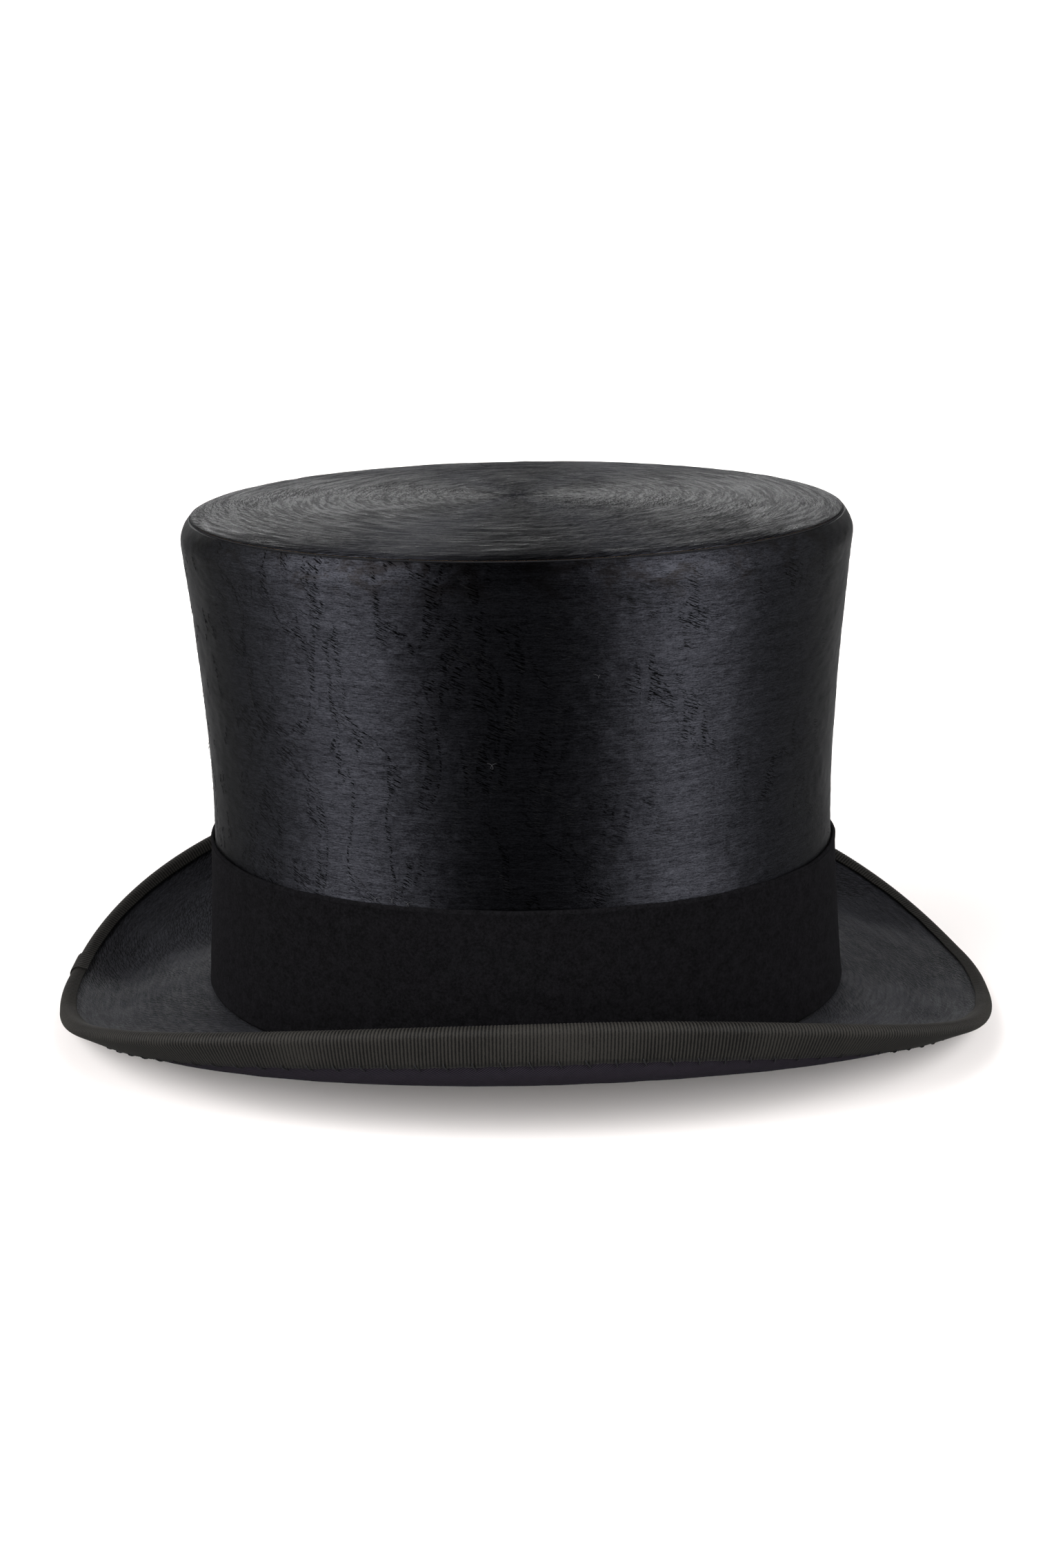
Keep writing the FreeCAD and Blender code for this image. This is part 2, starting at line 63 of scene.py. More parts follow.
BRIM_WIDTH_ENDS, BRIM_WIDTH_SIDES = 50.5, 46.0
SLOPE_IN = {"front": -11.5, "back": -13.6, "side": 22.7}
SLOPE_OUT = {"front": 6.1, "back": 15.9, "side": 88.8}
ROLL_POWER = {"front": 1.67, "back": 1.26}
ROLL_FROM, ROLL_TO, LEVEL_END = 0.451, 0.912, 0.1
JOIN_FROM, JOIN_WIDTH = 80.4, 3.6

# Depths of the layers, inside the plush's outer face and under the binding's top face.
PLUSH, SHELL_FACE = 1.2, 3.05
LINING_DEPTH, LINING, GATHERS = 3.1, 0.25, 96
LEATHER_DEPTH, LEATHER = 3.4, 1.0
BAND_DEPTH, BAND, BAND_TOP, BAND_CLEARANCE = -1.3, 1.25, 48.5, 0.15
BINDING, BINDING_COVER, BINDING_COVER_TOP = 0.5, 10.5, 4.8
PLUSH_TOP, BRIM_PLUSH = 0.58, 1.0
CLOTH_TOP, UNDER_CLOTH = 3.48, 0.6
CLOTH_FOOT = CLOTH_TOP + UNDER_CLOTH
BINDING_FOOT = CLOTH_FOOT + 0.08 + BINDING
CLOTH_INSET = 1.95
LEATHER_FACE = LEATHER_DEPTH + LEATHER

# Pile of the plush is laid round a circle of this radius: on the side, the tip and the brim.
SIDE_LAY, TIP_LAY, BRIM_LAY = 96.0, 60.0, 110.0

# Ribs of the binding ribbon round the hat, and how far they stand out on it and on its join.
RIBS, RIB_HEIGHT, JOIN_RIB_HEIGHT = 820, 0.2, 0.12

# Rings over each flat leg of the folded ribbon, and round its fold.
LEGS, TURNS = 7, 9


def smooth(t):
    t = np.clip(t, 0, 1)
    return t * t * (3 - 2 * t)


def lumps(u, v, cells_u, cells_v, seed):
    """Smooth noise from -1 to 1 over u and v, both 0 to 1. It repeats along u, round the hat."""
    table = np.random.RandomState(seed).uniform(-1, 1, (cells_v + 3, cells_u))
    x, y = (u % 1) * cells_u, np.clip(v, 0, 1) * cells_v
    i, j = np.floor(x).astype(int), np.floor(y).astype(int)
    fx, fy = smooth(x - i), smooth(y - j)
    low = table[j, i % cells_u] * (1 - fx) + table[j, (i + 1) % cells_u] * fx
    high = table[j + 1, i % cells_u] * (1 - fx) + table[j + 1, (i + 1) % cells_u] * fx
    return low * (1 - fy) + high * fy


def angles(count):
    return np.arange(count) * TURN / count


def headline_z(a):
    return HEADLINE_Z + SADDLE_RISE * np.cos(a) ** 2


def seam_z(a):
    return SEAM_Z - SEAM_TILT * OVAL_LENGTH * np.sin(a)


def wall_swell(z, top_out, seam):
    low = np.clip((WAIST_Z - z) / (WAIST_Z - HEADLINE_Z), 0, None)
    high = np.clip((z - WAIST_Z) / (SEAM_Z - WAIST_Z), 0, None)
    roll = np.clip(1 - (seam - z) / TOP_ROLL_DEPTH, 0, None)
    foot = WAIST_IN * low**FLARE_POWER
    top = (WAIST_IN + top_out) * high**FLARE_POWER - TOP_ROLL * roll**2
    return -WAIST_IN + np.where(z < WAIST_Z, foot, top)


def wall(a, z, depth):
    """Points of the crown's wall, depth inside the plush's outer face."""
    seam = seam_z(a)
    x = (OVAL_WIDTH + wall_swell(z, TOP_OUT_SIDES, seam) - depth) * np.cos(a)
    y = (OVAL_LENGTH + wall_swell(z, TOP_OUT_ENDS, seam) - depth) * np.sin(a)
    y = y + CROWN_LEAN * (z - HEADLINE_Z)
    return np.stack(np.broadcast_arrays(x, y, z), -1)


def tip_height(share):
    """Height of the tip's outer face over the plane of its seam."""
    inward = 1 - share
    rim = RIM_RISE * (1 - np.exp(-RIM_STEEPNESS * inward))
    middle = TIP_RISE * (1 - (1 - np.clip(2 * inward, 0, 1)) ** 2)
    return rim + middle + TIP_DOME * (1 - np.maximum(share, CAP_SHARE) ** 2)


def tip(a, share, depth, edge_depth=None):
    """Points of the tip. share runs from 0 in the middle to 1 at the rim."""
    y_mid = CROWN_LEAN * (SEAM_Z - HEADLINE_Z)
    x, y, z = np.moveaxis(wall(a, seam_z(a), depth if edge_depth is None else edge_depth), -1, 0)
    rim = wall(a, seam_z(a), 0.0)
    reach = np.hypot(x, y - y_mid) / np.hypot(rim[..., 0], rim[..., 1] - y_mid)
    sunk = depth
    if edge_depth is None:
        inside = smooth((1 - share) / RIM_SHARE)
        start = tip_height(reach) - (z - SEAM_Z + SEAM_TILT * (y - y_mid))
        sunk = start * (1 - inside) + depth * inside
    y = (y - y_mid) * share
    height = SEAM_Z - SEAM_TILT * y + tip_height(share * reach) - sunk
    return np.stack([x * share, y + y_mid, height], -1)


class Brim:
    """Points of the brim at a set of angles, by flat distance from the head oval or the edge."""

    STEPS = 240

    def __init__(self, a):
        self.a = a
        side = np.abs(np.cos(a))
        back = np.sin(a) > 0
        pick = lambda table: np.where(back, table["back"], table["front"])
        roll = np.clip((side - LEVEL_END) / (1 - LEVEL_END), 0, 1) ** pick(ROLL_POWER)
        self.width = BRIM_WIDTH_ENDS + (BRIM_WIDTH_SIDES - BRIM_WIDTH_ENDS) * side**2
        self.inner = pick(SLOPE_IN) + (SLOPE_IN["side"] - pick(SLOPE_IN)) * roll
        self.outer = pick(SLOPE_OUT) + (SLOPE_OUT["side"] - pick(SLOPE_OUT)) * roll
        self.step = self.width / self.STEPS
        middle = self.slope((np.arange(self.STEPS)[:, None] + 0.5) * self.step)
        start = np.zeros((1, len(a)))
        self.reach = np.concatenate([start, np.cumsum(np.cos(middle) * self.step, 0)])
        self.rise = np.concatenate([start, np.cumsum(np.sin(middle) * self.step, 0)])
        out = np.stack([np.cos(a) / OVAL_WIDTH, np.sin(a) / OVAL_LENGTH], -1)
        self.out = out / np.linalg.norm(out, axis=-1, keepdims=True)

    def slope(self, distance):
        share = (distance / self.width - ROLL_FROM) / (ROLL_TO - ROLL_FROM)
        return np.radians(self.inner + (self.outer - self.inner) * smooth(share))

    def at(self, distance, depth):
        """(points, unit vectors out of the top face). distance is one number or one per angle."""
        distance = np.broadcast_to(distance, self.a.shape)
        place = distance / self.step
        i = np.clip(np.floor(place), 0, self.STEPS - 1).astype(int)
        part, column = place - i, np.arange(len(self.a))
        reach = self.reach[i, column] * (1 - part) + self.reach[i + 1, column] * part
        rise = self.rise[i, column] * (1 - part) + self.rise[i + 1, column] * part
        slope = self.slope(np.maximum(distance, 0))
        x = OVAL_WIDTH * np.cos(self.a) + self.out[:, 0] * reach
        y = OVAL_LENGTH * np.sin(self.a) + self.out[:, 1] * reach
        up = np.stack(
            [-self.out[:, 0] * np.sin(slope), -self.out[:, 1] * np.sin(slope), np.cos(slope)], -1
        )
        points = np.stack([x, y, headline_z(self.a) + rise], -1)
        return points - up * np.broadcast_to(depth, self.a.shape)[:, None], up

    def edge(self, inset, depth):
        return self.at(self.width - inset, depth)

    def start(self, wall_depth, depth):
        """Flat distance at which a face of the brim meets the wall's face at wall_depth."""
        slope = self.slope(0.0)
        z = headline_z(self.a) - depth * np.cos(slope) - wall_depth * np.sin(slope)
        out = wall_swell(z, TOP_OUT_ENDS, SEAM_Z) - wall_depth
        return (out - depth * np.sin(slope)) / np.cos(slope)


# ---- Mesh helpers -----------------------------------------------------------------------------


def mesh_piece(name, points, faces, node, slot, grain=None, lay=None):
    """A smooth mesh piece on the root body, in place of a CAD node if it has one."""
    mesh = bpy.data.meshes.new(name)
    if isinstance(faces, np.ndarray):
        faces = faces.tolist()
    mesh.from_pydata((np.asarray(points).reshape(-1, 3) * MM).tolist(), [], faces)
    mesh.shade_smooth()
    if grain is not None:
        layer = mesh.attributes.new("grain", "FLOAT_VECTOR", "POINT")
        layer.data.foreach_set("vector", np.asarray(grain, np.float32).ravel())
    if lay is not None:
        corners = np.empty(len(mesh.loops), int)
        mesh.loops.foreach_get("vertex_index", corners)
        uv = mesh.uv_layers.new(name="lay")
        uv.data.foreach_set("uv", np.asarray(lay, np.float32).reshape(-1, 2)[corners].ravel())
    mesh.update()
    piece = bpy.data.objects.new(name, mesh)
    bpy.context.scene.collection.objects.link(piece)
    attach(piece, "root")
    if node:
        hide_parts(node)
    return piece


def grid_faces(rows, columns, wrap_rows, wrap_columns=True, flip=False):
    """Quads over a grid of points, closed round it and, if asked, across it."""
    i, j = np.meshgrid(
        np.arange(rows if wrap_rows else rows - 1),
        np.arange(columns if wrap_columns else columns - 1),
        indexing="ij",
    )
    k, m = (i + 1) % rows, (j + 1) % columns
    quads = np.stack(
        [i * columns + j, i * columns + m, k * columns + m, k * columns + j], -1
    ).reshape(-1, 4)
    return quads[:, ::-1] if flip else quads


def end_faces(rows, columns, flip=False):
    """Quads over both ends of a strip, whose rings run up one face and down the other."""
    faces = []
    for column, turned in ((0, flip), (columns - 1, not flip)):
        for i in range(rows // 2 - 1):
            j = rows - 1 - i
            quad = [k * columns + column for k in (i, i + 1, j - 1, j)]
            faces.append(quad[::-1] if turned else quad)
    return faces


def fan_faces(ring, count, centre, flip=False):
    """Triangles from one ring of a mesh to its centre point."""
    i = np.arange(count)
    first = ring * count
    fan = np.stack([first + i, first + (i + 1) % count, np.full(count, centre)], -1)
    return (fan[:, ::-1] if flip else fan).tolist()


def ring_piece(name, rings, node, slot, grain=None, flip=False):
    """A closed ring of cloth: rings run across the section and meet again, and each goes round."""
    rings = np.asarray(rings)
    rows, columns = rings.shape[:2]
    faces = grid_faces(rows, columns, True, flip=flip)
    lay = np.stack(
        np.broadcast_arrays(
            np.arange(rows)[:, None] / rows, np.arange(columns)[None, :] / columns
        ),
        -1,
    )
    return mesh_piece(name, rings, faces, node, slot, grain, lay)


def section(outer, inner):
    """Rings up the outer face and down the inner one, with rounded edges where they meet."""
    outer, inner = list(outer), list(inner)
    rings = outer[1:-1]
    for face_a, before_a, face_b, before_b in (
        (outer[-1], outer[-2], inner[-1], inner[-2]),
        (inner[0], inner[1], outer[0], outer[1]),
    ):
        half = np.linalg.norm(face_a - face_b, axis=-1, keepdims=True) / 2
        run = (face_a + face_b - before_a - before_b) / 2
        run = run / np.linalg.norm(run, axis=-1, keepdims=True)
        middle = (face_a + face_b) / 2 - run * half
        side = (face_a - face_b) / 2
        turns = np.radians([0, 30, 60, 90, 120, 150, 180])
        rounded = [middle + side * math.cos(t) + run * half * math.sin(t) for t in turns]
        rings += rounded
        if face_a is outer[-1]:
            rings += inner[-2:0:-1]
    return np.array(rings)


def wall_section(a, foot, top, depth, thickness, rows, inner_rows=8, bulge=None, crowd=1.0):
    """Section rings of a layer of the wall. bulge(a, share) is how far its outer face stands out.

    crowd draws the rings together towards the top.
    """
    def face(d, count, extra):
        rings = []
        for share in 1 - (1 - np.linspace(0, 1, count)) ** crowd:
            z = foot + (top - foot) * share
            rings.append(wall(a, z, d - (extra(a, share) if extra else 0)))
        return rings

    return section(face(depth, rows, bulge), face(depth + thickness, inner_rows, None))


def tube(path, radius, corners=8, twist=0.0, plies=0, closed=False):
    """Points and quads of a round thread along a path. Plies give it a twisted, roped surface."""
    path = np.asarray(path, float)
    count = len(path)
    if closed:
        run = np.roll(path, -1, 0) - np.roll(path, 1, 0)
    else:
        run = np.gradient(path, axis=0)
    run /= np.linalg.norm(run, axis=1, keepdims=True)
    guide = np.where(np.abs(run[:, 2:3]) > 0.9, [[1.0, 0, 0]], [[0, 0, 1.0]])
    side = np.cross(run, guide)
    side /= np.linalg.norm(side, axis=1, keepdims=True)
    up = np.cross(side, run)
    length = np.concatenate([[0], np.cumsum(np.linalg.norm(np.diff(path, axis=0), axis=1))])
    turn = np.arange(corners) * TURN / corners
    swell = 1.0
    if plies:
        swell = 0.84 + 0.16 * np.abs(np.cos(plies * turn[None] / 2 + (length * twist)[:, None]))
    r = np.broadcast_to(radius, (count,))[:, None] * swell
    points = (
        path[:, None]
        + side[:, None] * (r * np.cos(turn))[..., None]
        + up[:, None] * (r * np.sin(turn))[..., None]
    )
    return points.reshape(-1, 3), grid_faces(count, corners, closed)


def joined(parts):
    """Several (points, faces) as one."""
    points, faces, base = [], [], 0
    for p, f in parts:
        points.append(p)
        faces.append(f + base)
        base += len(p)
    return np.concatenate(points), np.concatenate(faces)


# ---- Materials --------------------------------------------------------------------------------


class Nodes:
    """Shader nodes in one tree. Each method adds a node and returns its useful output."""

    def __init__(self, tree):
        self.nodes, self.links = tree.nodes, tree.links

    def add(self, kind, **settings):
        node = self.nodes.new("ShaderNode" + kind)
        for key, value in settings.items():
            setattr(node, key, value)
        return node

    def feed(self, socket, value):
        if isinstance(value, bpy.types.NodeSocket):
            self.links.new(value, socket)
        else:
            socket.default_value = value

    def math(self, kind, *values):
        node = self.add("Math", operation=kind)
        for socket, value in zip(node.inputs, values):
            self.feed(socket, value)
        return node.outputs[0]

    def total(self, *weighted):
        """Sum of (output, weight) pairs."""
        result = 0.0
        for value, weight in weighted:
            result = self.math("MULTIPLY_ADD", value, weight, result)
        return result

    def fit(self, value, low, high, to_low=0.0, to_high=1.0):
        node = self.add("MapRange", interpolation_type="SMOOTHSTEP")
        for socket, number in zip(node.inputs, (value, low, high, to_low, to_high)):
            self.feed(socket, number)
        return node.outputs[0]

    def split(self, source):
        node = self.add("SeparateXYZ")
        self.feed(node.inputs[0], source)
        return node.outputs


class Paint(Nodes):
    """A procedural material, painted by place on the piece or by one of its mesh's attributes."""

    def __init__(self, name, attribute=None):
        self.material = bpy.data.materials.new(name)
        self.material.use_nodes = True
        super().__init__(self.material.node_tree)
        self.shader = self.nodes["Principled BSDF"]
        if attribute:
            self.place = self.add("Attribute", attribute_name=attribute).outputs["Vector"]
        else:
            self.place = self.add("TexCoord").outputs["Object"]

    def texture(self, kind, stretch, scale, **settings):
        """A texture node, stretched by three factors along x, y and z."""
        mapping, node = self.add("Mapping"), self.add(kind, **settings)
        mapping.inputs["Scale"].default_value = stretch
        self.feed(mapping.inputs["Vector"], self.place)
        self.feed(node.inputs["Vector"], mapping.outputs["Vector"])
        node.inputs["Scale"].default_value = scale
        return node

    def noise(self, scale, detail=3.0, rough=0.55, stretch=(1, 1, 1), twist=0.0):
        node = self.texture("TexNoise", stretch, scale)
        node.inputs["Detail"].default_value = detail
        node.inputs["Roughness"].default_value = rough
        node.inputs["Distortion"].default_value = twist
        return node.outputs["Fac"]

    def blend(self, share, a, b):
        node = self.add("Mix", data_type="RGBA")
        self.feed(node.inputs[0], share)
        for socket, colour in ((node.inputs[6], a), (node.inputs[7], b)):
            self.feed(socket, (*colour, 1) if isinstance(colour, tuple) else colour)
        return node.outputs[2]

    def bump(self, height, distance, strength):
        node = self.add("Bump")
        node.inputs["Distance"].default_value = distance
        node.inputs["Strength"].default_value = strength
        self.feed(node.inputs["Height"], height)
        return node.outputs[0]

    def finish(self, colour, roughness, normal=None, **plain):
        """Wires up the shader. plain holds the settings that are the same all over."""
        self.feed(self.shader.inputs["Base Color"], colour)
        self.feed(self.shader.inputs["Roughness"], roughness)
        if normal is not None:
            self.feed(self.shader.inputs["Normal"], normal)
        for key, value in plain.items():
            self.shader.inputs[key.replace("_", " ")].default_value = value
        return self.material


def dashes(p, radius, along, across, slope, half):
    """Slanting strokes in the hair, one in each cell, all in millimetres."""
    x, y, z = p.split(p.place)
    cell = p.texture("TexVoronoi", (1 / along, 1 / along, 1 / across), 1.0)
    cx, cy, cz = p.split(cell.outputs["Position"])
    turned = p.math("SUBTRACT", p.math("MULTIPLY", cx, y), p.math("MULTIPLY", cy, x))
    run = p.math("DIVIDE", turned, radius / along)
    off = p.math("MULTIPLY_ADD", run, slope, p.math("MULTIPLY_ADD", cz, -across, z))
    run = p.math("ABSOLUTE", run)
    off = p.math("MULTIPLY_ADD", run, 0.3 * half, p.math("ABSOLUTE", off))
    stroke = p.fit(off, 0.7 * half, 1.5 * half, 1.0, 0.0)
    return p.math("MULTIPLY", stroke, p.fit(run, 0.25 * along, 0.62 * along, 1.0, 0.0))


PILE_DARK, PILE_BRIGHT = (0.003, 0.003, 0.0037), (0.0245, 0.025, 0.0295)
# The parting colour is a parting in the pile darkened with painted shadow under the lifted tufts;
# the rubbed colour is wear.
PILE_RUBBED, PILE_PARTING_AND_SHADOW = (0.0062, 0.005, 0.0044), (0.0006, 0.0006, 0.0007)


def plush(name, radius, roughness, anisotropic=0.9, metallic=1.0, marks=0.5, tint=1.0,
          slope=0.42, long=4.2, chained=True, relief=0.7, shine=1.0, ruffled=0.0, worn_from=None):
    """Brushed silk pile, nearly all sheen.

    The grain attribute runs in millimetres: x and y go along the hair, round a circle of this
    radius so that there is no join, and z goes across it. Marks are where the hair has parted,
    scattered or in chains, and are darkened with painted shadow under the lifted tufts. Ruffled
    hair lies smooth in some streaks and rough in others. From the height worn_from upwards the
    pile is rubbed.
    """
    p = Paint(name, "grain")
    _, y, z = p.split(p.place)
    fine = p.noise(1.0, 3, 0.7, (0.4, 0.4, 4.2))
    speck = p.noise(1.0, 4, 0.75, (1.5, 1.5, 3.4))
    streak = p.noise(1.0, 3, 0.6, (0.05, 0.05, 0.9), 0.4)
    patch = p.noise(1.0, 3, 0.5, (0.035, 0.035, 0.045), 0.8)

    mark = p.math(
        "MAXIMUM",
        dashes(p, radius, long, 1.2, slope, 0.17),
        dashes(p, radius, long * 0.6, 0.9, slope * 1.3, 0.11),
    )
    where = p.noise(1.0, 2, 0.5, (0.03, 0.03, 0.035))
    if chained:
        line = p.noise(1.0, 3, 0.6, (0.06, 0.06, 0.026), 0.7)
        chain = p.fit(p.math("ABSOLUTE", p.math("SUBTRACT", line, 0.5)), 0.012, 0.04, 1.0, 0.0)
        where = p.fit(p.math("MULTIPLY_ADD", y, 0.12 / radius, where), 0.38, 0.54, 0.12, 1.0)
        where = p.math("MULTIPLY", chain, where)
    else:
        where = p.fit(where, 0.4, 0.58, 0.25, 1.0)
    mark = p.math("MULTIPLY", mark, p.math("MULTIPLY", where, marks))

    tone = p.total((fine, 0.42), (speck, 0.42), (streak, 0.16))
    dark, bright = (tuple(shine * c for c in colour) for colour in (PILE_DARK, PILE_BRIGHT))
    colour = p.blend(p.fit(tone, 0.36, 0.66), dark, bright)
    if worn_from:
        rubbed = p.fit(p.noise(1.0, 4, 0.65, (0.1, 0.1, 0.16), 0.6), 0.46, 0.62)
        rubbed = p.math("MULTIPLY", rubbed, p.fit(z, worn_from, worn_from + 9, 0.0, 0.55))
        colour = p.blend(rubbed, colour, PILE_RUBBED)
    # Marks: partings in the pile, darkened with painted shadow under the lifted tufts.
    colour = p.blend(mark, colour, PILE_PARTING_AND_SHADOW)
    height = p.total((fine, 0.3), (streak, 0.25), (speck, 0.25))
    tangent = p.add("Tangent", direction_type="UV_MAP", uv_map="lay")
    p.links.new(tangent.outputs[0], p.shader.inputs["Tangent"])
    lie = p.fit(patch, 0.3, 0.7, *roughness)
    if ruffled:
        rough = p.noise(1.0, 3, 0.6, (0.09, 0.09, 0.8), 0.5)
        rough = p.fit(p.total((speck, 0.45), (rough, 0.55)), 0.4, 0.6)
        lie = p.total((lie, 1.0), (rough, ruffled), (mark, 0.3))
    return p.finish(
        colour, lie, p.bump(height, 0.0002, relief),
        Metallic=metallic, Anisotropic=anisotropic, Specular_Tint=(tint, tint, tint, 1.0),
        Specular_IOR_Level=0.1,
    )


def wool(name, dark, light, sheen, grain_mm=0.5, twill=0.0):
    """Milled wool cloth: a short matt nap, with a twill line where it is thin."""
    p = Paint(name)
    nap = p.noise(1000 / grain_mm, 3, 0.7)
    fuzz = p.noise(340, 4, 0.7)
    patch = p.noise(26, 3, 0.5)
    height = p.total((nap, 0.7), (fuzz, 0.5))
    if twill:
        x, y, z = p.split(p.place)
        line = p.total((x, -0.55 * TURN / twill), (y, TURN / twill), (z, 0.85 * TURN / twill))
        height = p.total((height, 1.0), (p.math("SINE", line), 0.34))
    tone = p.total((p.fit(height, 0.36, 0.86), 0.8), (patch, 0.2))
    colour = p.blend(tone, dark, light)
    return p.finish(
        colour, p.fit(patch, 0.3, 0.7, 0.86, 0.96), p.bump(height, 0.00018, 0.8),
        Sheen_Weight=sheen, Sheen_Roughness=0.6, Sheen_Tint=(0.9, 0.88, 1.0, 1.0),
        Specular_IOR_Level=0.03,
    )


def ribbon(name, dark, light, sheen=0.01, ribbed=False):
    """Ribbed ribbon. The ribs are in the mesh, so this adds their fibre, wear, and painted light
    and shade on them.

    The grain attribute's x is 1 on the crest of a rib and 0 between two ribs, and its y is 1 at
    the ribbon's sewn edge. Where ribbed, the colour has a painted highlight on the crests and
    painted shade between the ribs.
    """
    p = Paint(name)
    fibre = p.noise(2600, 3, 0.7)
    worn = p.noise(45, 4, 0.6)
    tone = p.total((fibre, 0.6), (worn, 0.4))
    if ribbed:
        rib, edge, _ = p.split(p.add("Attribute", attribute_name="grain").outputs["Vector"])
        # Painted light and shade: lighter on each rib's crest, darker between the ribs.
        tone = p.math("MULTIPLY_ADD", rib, 0.44, p.math("SUBTRACT", tone, 0.22))
    colour = p.blend(p.fit(tone, 0.3, 0.68), dark, light)
    if ribbed:
        loops = p.math("MULTIPLY", p.fit(edge, 0.75, 0.98), p.fit(p.noise(900, 2, 0.6), 0.4, 0.6))
        colour = p.blend(loops, colour, tuple(2.2 * c for c in light))
    return p.finish(
        colour, p.fit(worn, 0.35, 0.65, 0.6, 0.75), p.bump(fibre, 0.00008, 0.7),
        Sheen_Weight=sheen, Sheen_Roughness=0.5, Specular_IOR_Level=0.1,
    )


def thread(name, dark, light):
    """Twisted sewing thread."""
    p = Paint(name)
    fibre = p.noise(3200, 2, 0.6)
    return p.finish(
        p.blend(fibre, dark, light), p.fit(fibre, 0.3, 0.7, 0.6, 0.8), p.bump(fibre, 0.00005, 0.6),
        Specular_IOR_Level=0.12,
    )


def satin(name, dark, light, roughness=(0.26, 0.36)):
    """Satin: long smooth floats, with a fine cross thread."""
    p = Paint(name)
    floats = p.noise(900, 3, 0.6, (1.0, 1.0, 0.12))
    cross = p.noise(2400, 2, 0.5)
    patch = p.noise(18, 3, 0.5)
    tone = p.total((floats, 0.5), (patch, 0.5))
    height = p.total((floats, 0.7), (cross, 0.3))
    return p.finish(
        p.blend(p.fit(tone, 0.35, 0.65), dark, light),
        p.fit(patch, 0.3, 0.7, *roughness), p.bump(height, 0.00006, 0.6),
        Anisotropic=0.5, Specular_IOR_Level=0.6, Sheen_Weight=0.1,
    )


def leather(name, dark, light):
    """Thin smooth sweatband leather: pores, fine creases and handling marks."""
    p = Paint(name)
    pores = p.texture("TexVoronoi", (1, 1, 1), 1400).outputs["Distance"]
    crease = p.texture("TexVoronoi", (1, 1, 0.7), 380, feature="DISTANCE_TO_EDGE")
    crease = crease.outputs["Distance"]
    cloud = p.noise(32, 4, 0.6)
    height = p.total((pores, -0.5), (p.fit(crease, 0.0, 0.12), 0.5))
    tone = p.total((cloud, 0.8), (crease, 0.35))
    return p.finish(
        p.blend(p.fit(tone, 0.3, 0.75), dark, light), p.fit(cloud, 0.3, 0.7, 0.38, 0.55),
        p.bump(height, 0.00012, 0.55), Specular_IOR_Level=0.45,
    )


def weave(name, dark, light, pitch_mm=0.55, roughness=0.85, bump=0.0001, coat=0.0):
    """Plain weave, for calico, tape and the shellacked muslin of the body."""
    p = Paint(name)
    x, y, z = p.split(p.place)
    step = TURN / (pitch_mm * MM)
    warp = p.math("SINE", p.math("MULTIPLY", z, step))
    weft = p.math("SINE", p.total((x, step), (y, step)))
    cloth = p.total((warp, 0.5), (weft, 0.5))
    stain = p.noise(40, 4, 0.6)
    tone = p.total((cloth, 0.3), (stain, 1.0))
    return p.finish(
        p.blend(p.fit(tone, 0.2, 0.85), dark, light),
        p.fit(stain, 0.3, 0.7, roughness - 0.08, roughness), p.bump(cloth, bump, 0.7),
        Coat_Weight=coat,
    )


def cane(name):
    """Bare cane, with its grain along it."""
    p = Paint(name)
    grain = p.noise(260, 4, 0.6, (1, 1, 5))
    return p.finish(
        p.blend(grain, (0.42, 0.30, 0.17), (0.66, 0.52, 0.33)), p.fit(grain, 0.3, 0.7, 0.4, 0.55),
        p.bump(grain, 0.0001, 0.5),
    )


SILK_SIDE = plush(
    "silk_plush_side", SIDE_LAY, (0.42, 0.48), marks=1.0, tint=0.75, shine=1.12, worn_from=150.0
)
SILK_TIP = plush(
    "silk_plush_tip", TIP_LAY, (0.24, 0.3), marks=0.9, tint=0.7, slope=0.25, long=4.0,
    chained=False, relief=1.3, ruffled=0.3,
)
SILK_BRIM = plush(
    "silk_plush_brim", BRIM_LAY, (0.55, 0.65), 0.5, 0.3, marks=0.85, slope=0.8, long=2.0,
    chained=False, relief=1.8, shine=1.3, ruffled=0.12,
)
LOOSE_HAIR = thread("loose_hair", (0.0008, 0.0008, 0.001), (0.002, 0.002, 0.0025))
BAND_WOOL = wool("band_wool", (0.0002, 0.0002, 0.0002), (0.0052, 0.0049, 0.0058), 0.003, 0.8)
MERINO = wool("merino_twill", (0.006, 0.005, 0.0068), (0.0235, 0.0195, 0.0265), 0.005, 0.4, 0.0009)
PETERSHAM = ribbon("petersham", (0.001, 0.0008, 0.0007), (0.0182, 0.0168, 0.0147), ribbed=True)
BOW_RIBBON = ribbon("bow_ribbon", (0.012, 0.011, 0.011), (0.03, 0.028, 0.028))
DARK_THREAD = thread("dark_thread", (0.0015, 0.0015, 0.002), (0.004, 0.004, 0.005))
GREY_THREAD = thread("grey_thread", (0.006, 0.006, 0.0066), (0.015, 0.0152, 0.0165))
PALE_THREAD = thread("pale_thread", (0.011, 0.0115, 0.013), (0.03, 0.031, 0.035))
LINT = thread("lint", (0.02, 0.02, 0.022), (0.05, 0.05, 0.052))
CREAM_SATIN = satin("cream_satin", (0.66, 0.61, 0.52), (0.80, 0.76, 0.68))
ROAN = leather("roan_leather", (0.26, 0.135, 0.06), (0.47, 0.28, 0.145))
CALICO = weave("calico", (0.48, 0.44, 0.36), (0.66, 0.62, 0.53))
GOSSAMER = weave("gossamer", (0.17, 0.10, 0.045), (0.34, 0.22, 0.11), 0.7, 0.5, 0.00015, 0.4)
TAPE = weave("cotton_tape", (0.05, 0.045, 0.04), (0.12, 0.11, 0.10), 0.5)
CANE = cane("cane")


def wear(piece, material):
    piece.data.materials.clear()
    piece.data.materials.append(material)


def strands(name, parts, node, slot, material):
    """Many threads or hairs as one piece."""
    wear(mesh_piece(name, *joined(parts), node, slot), material)


# ---- Plush ------------------------------------------------------------------------------------


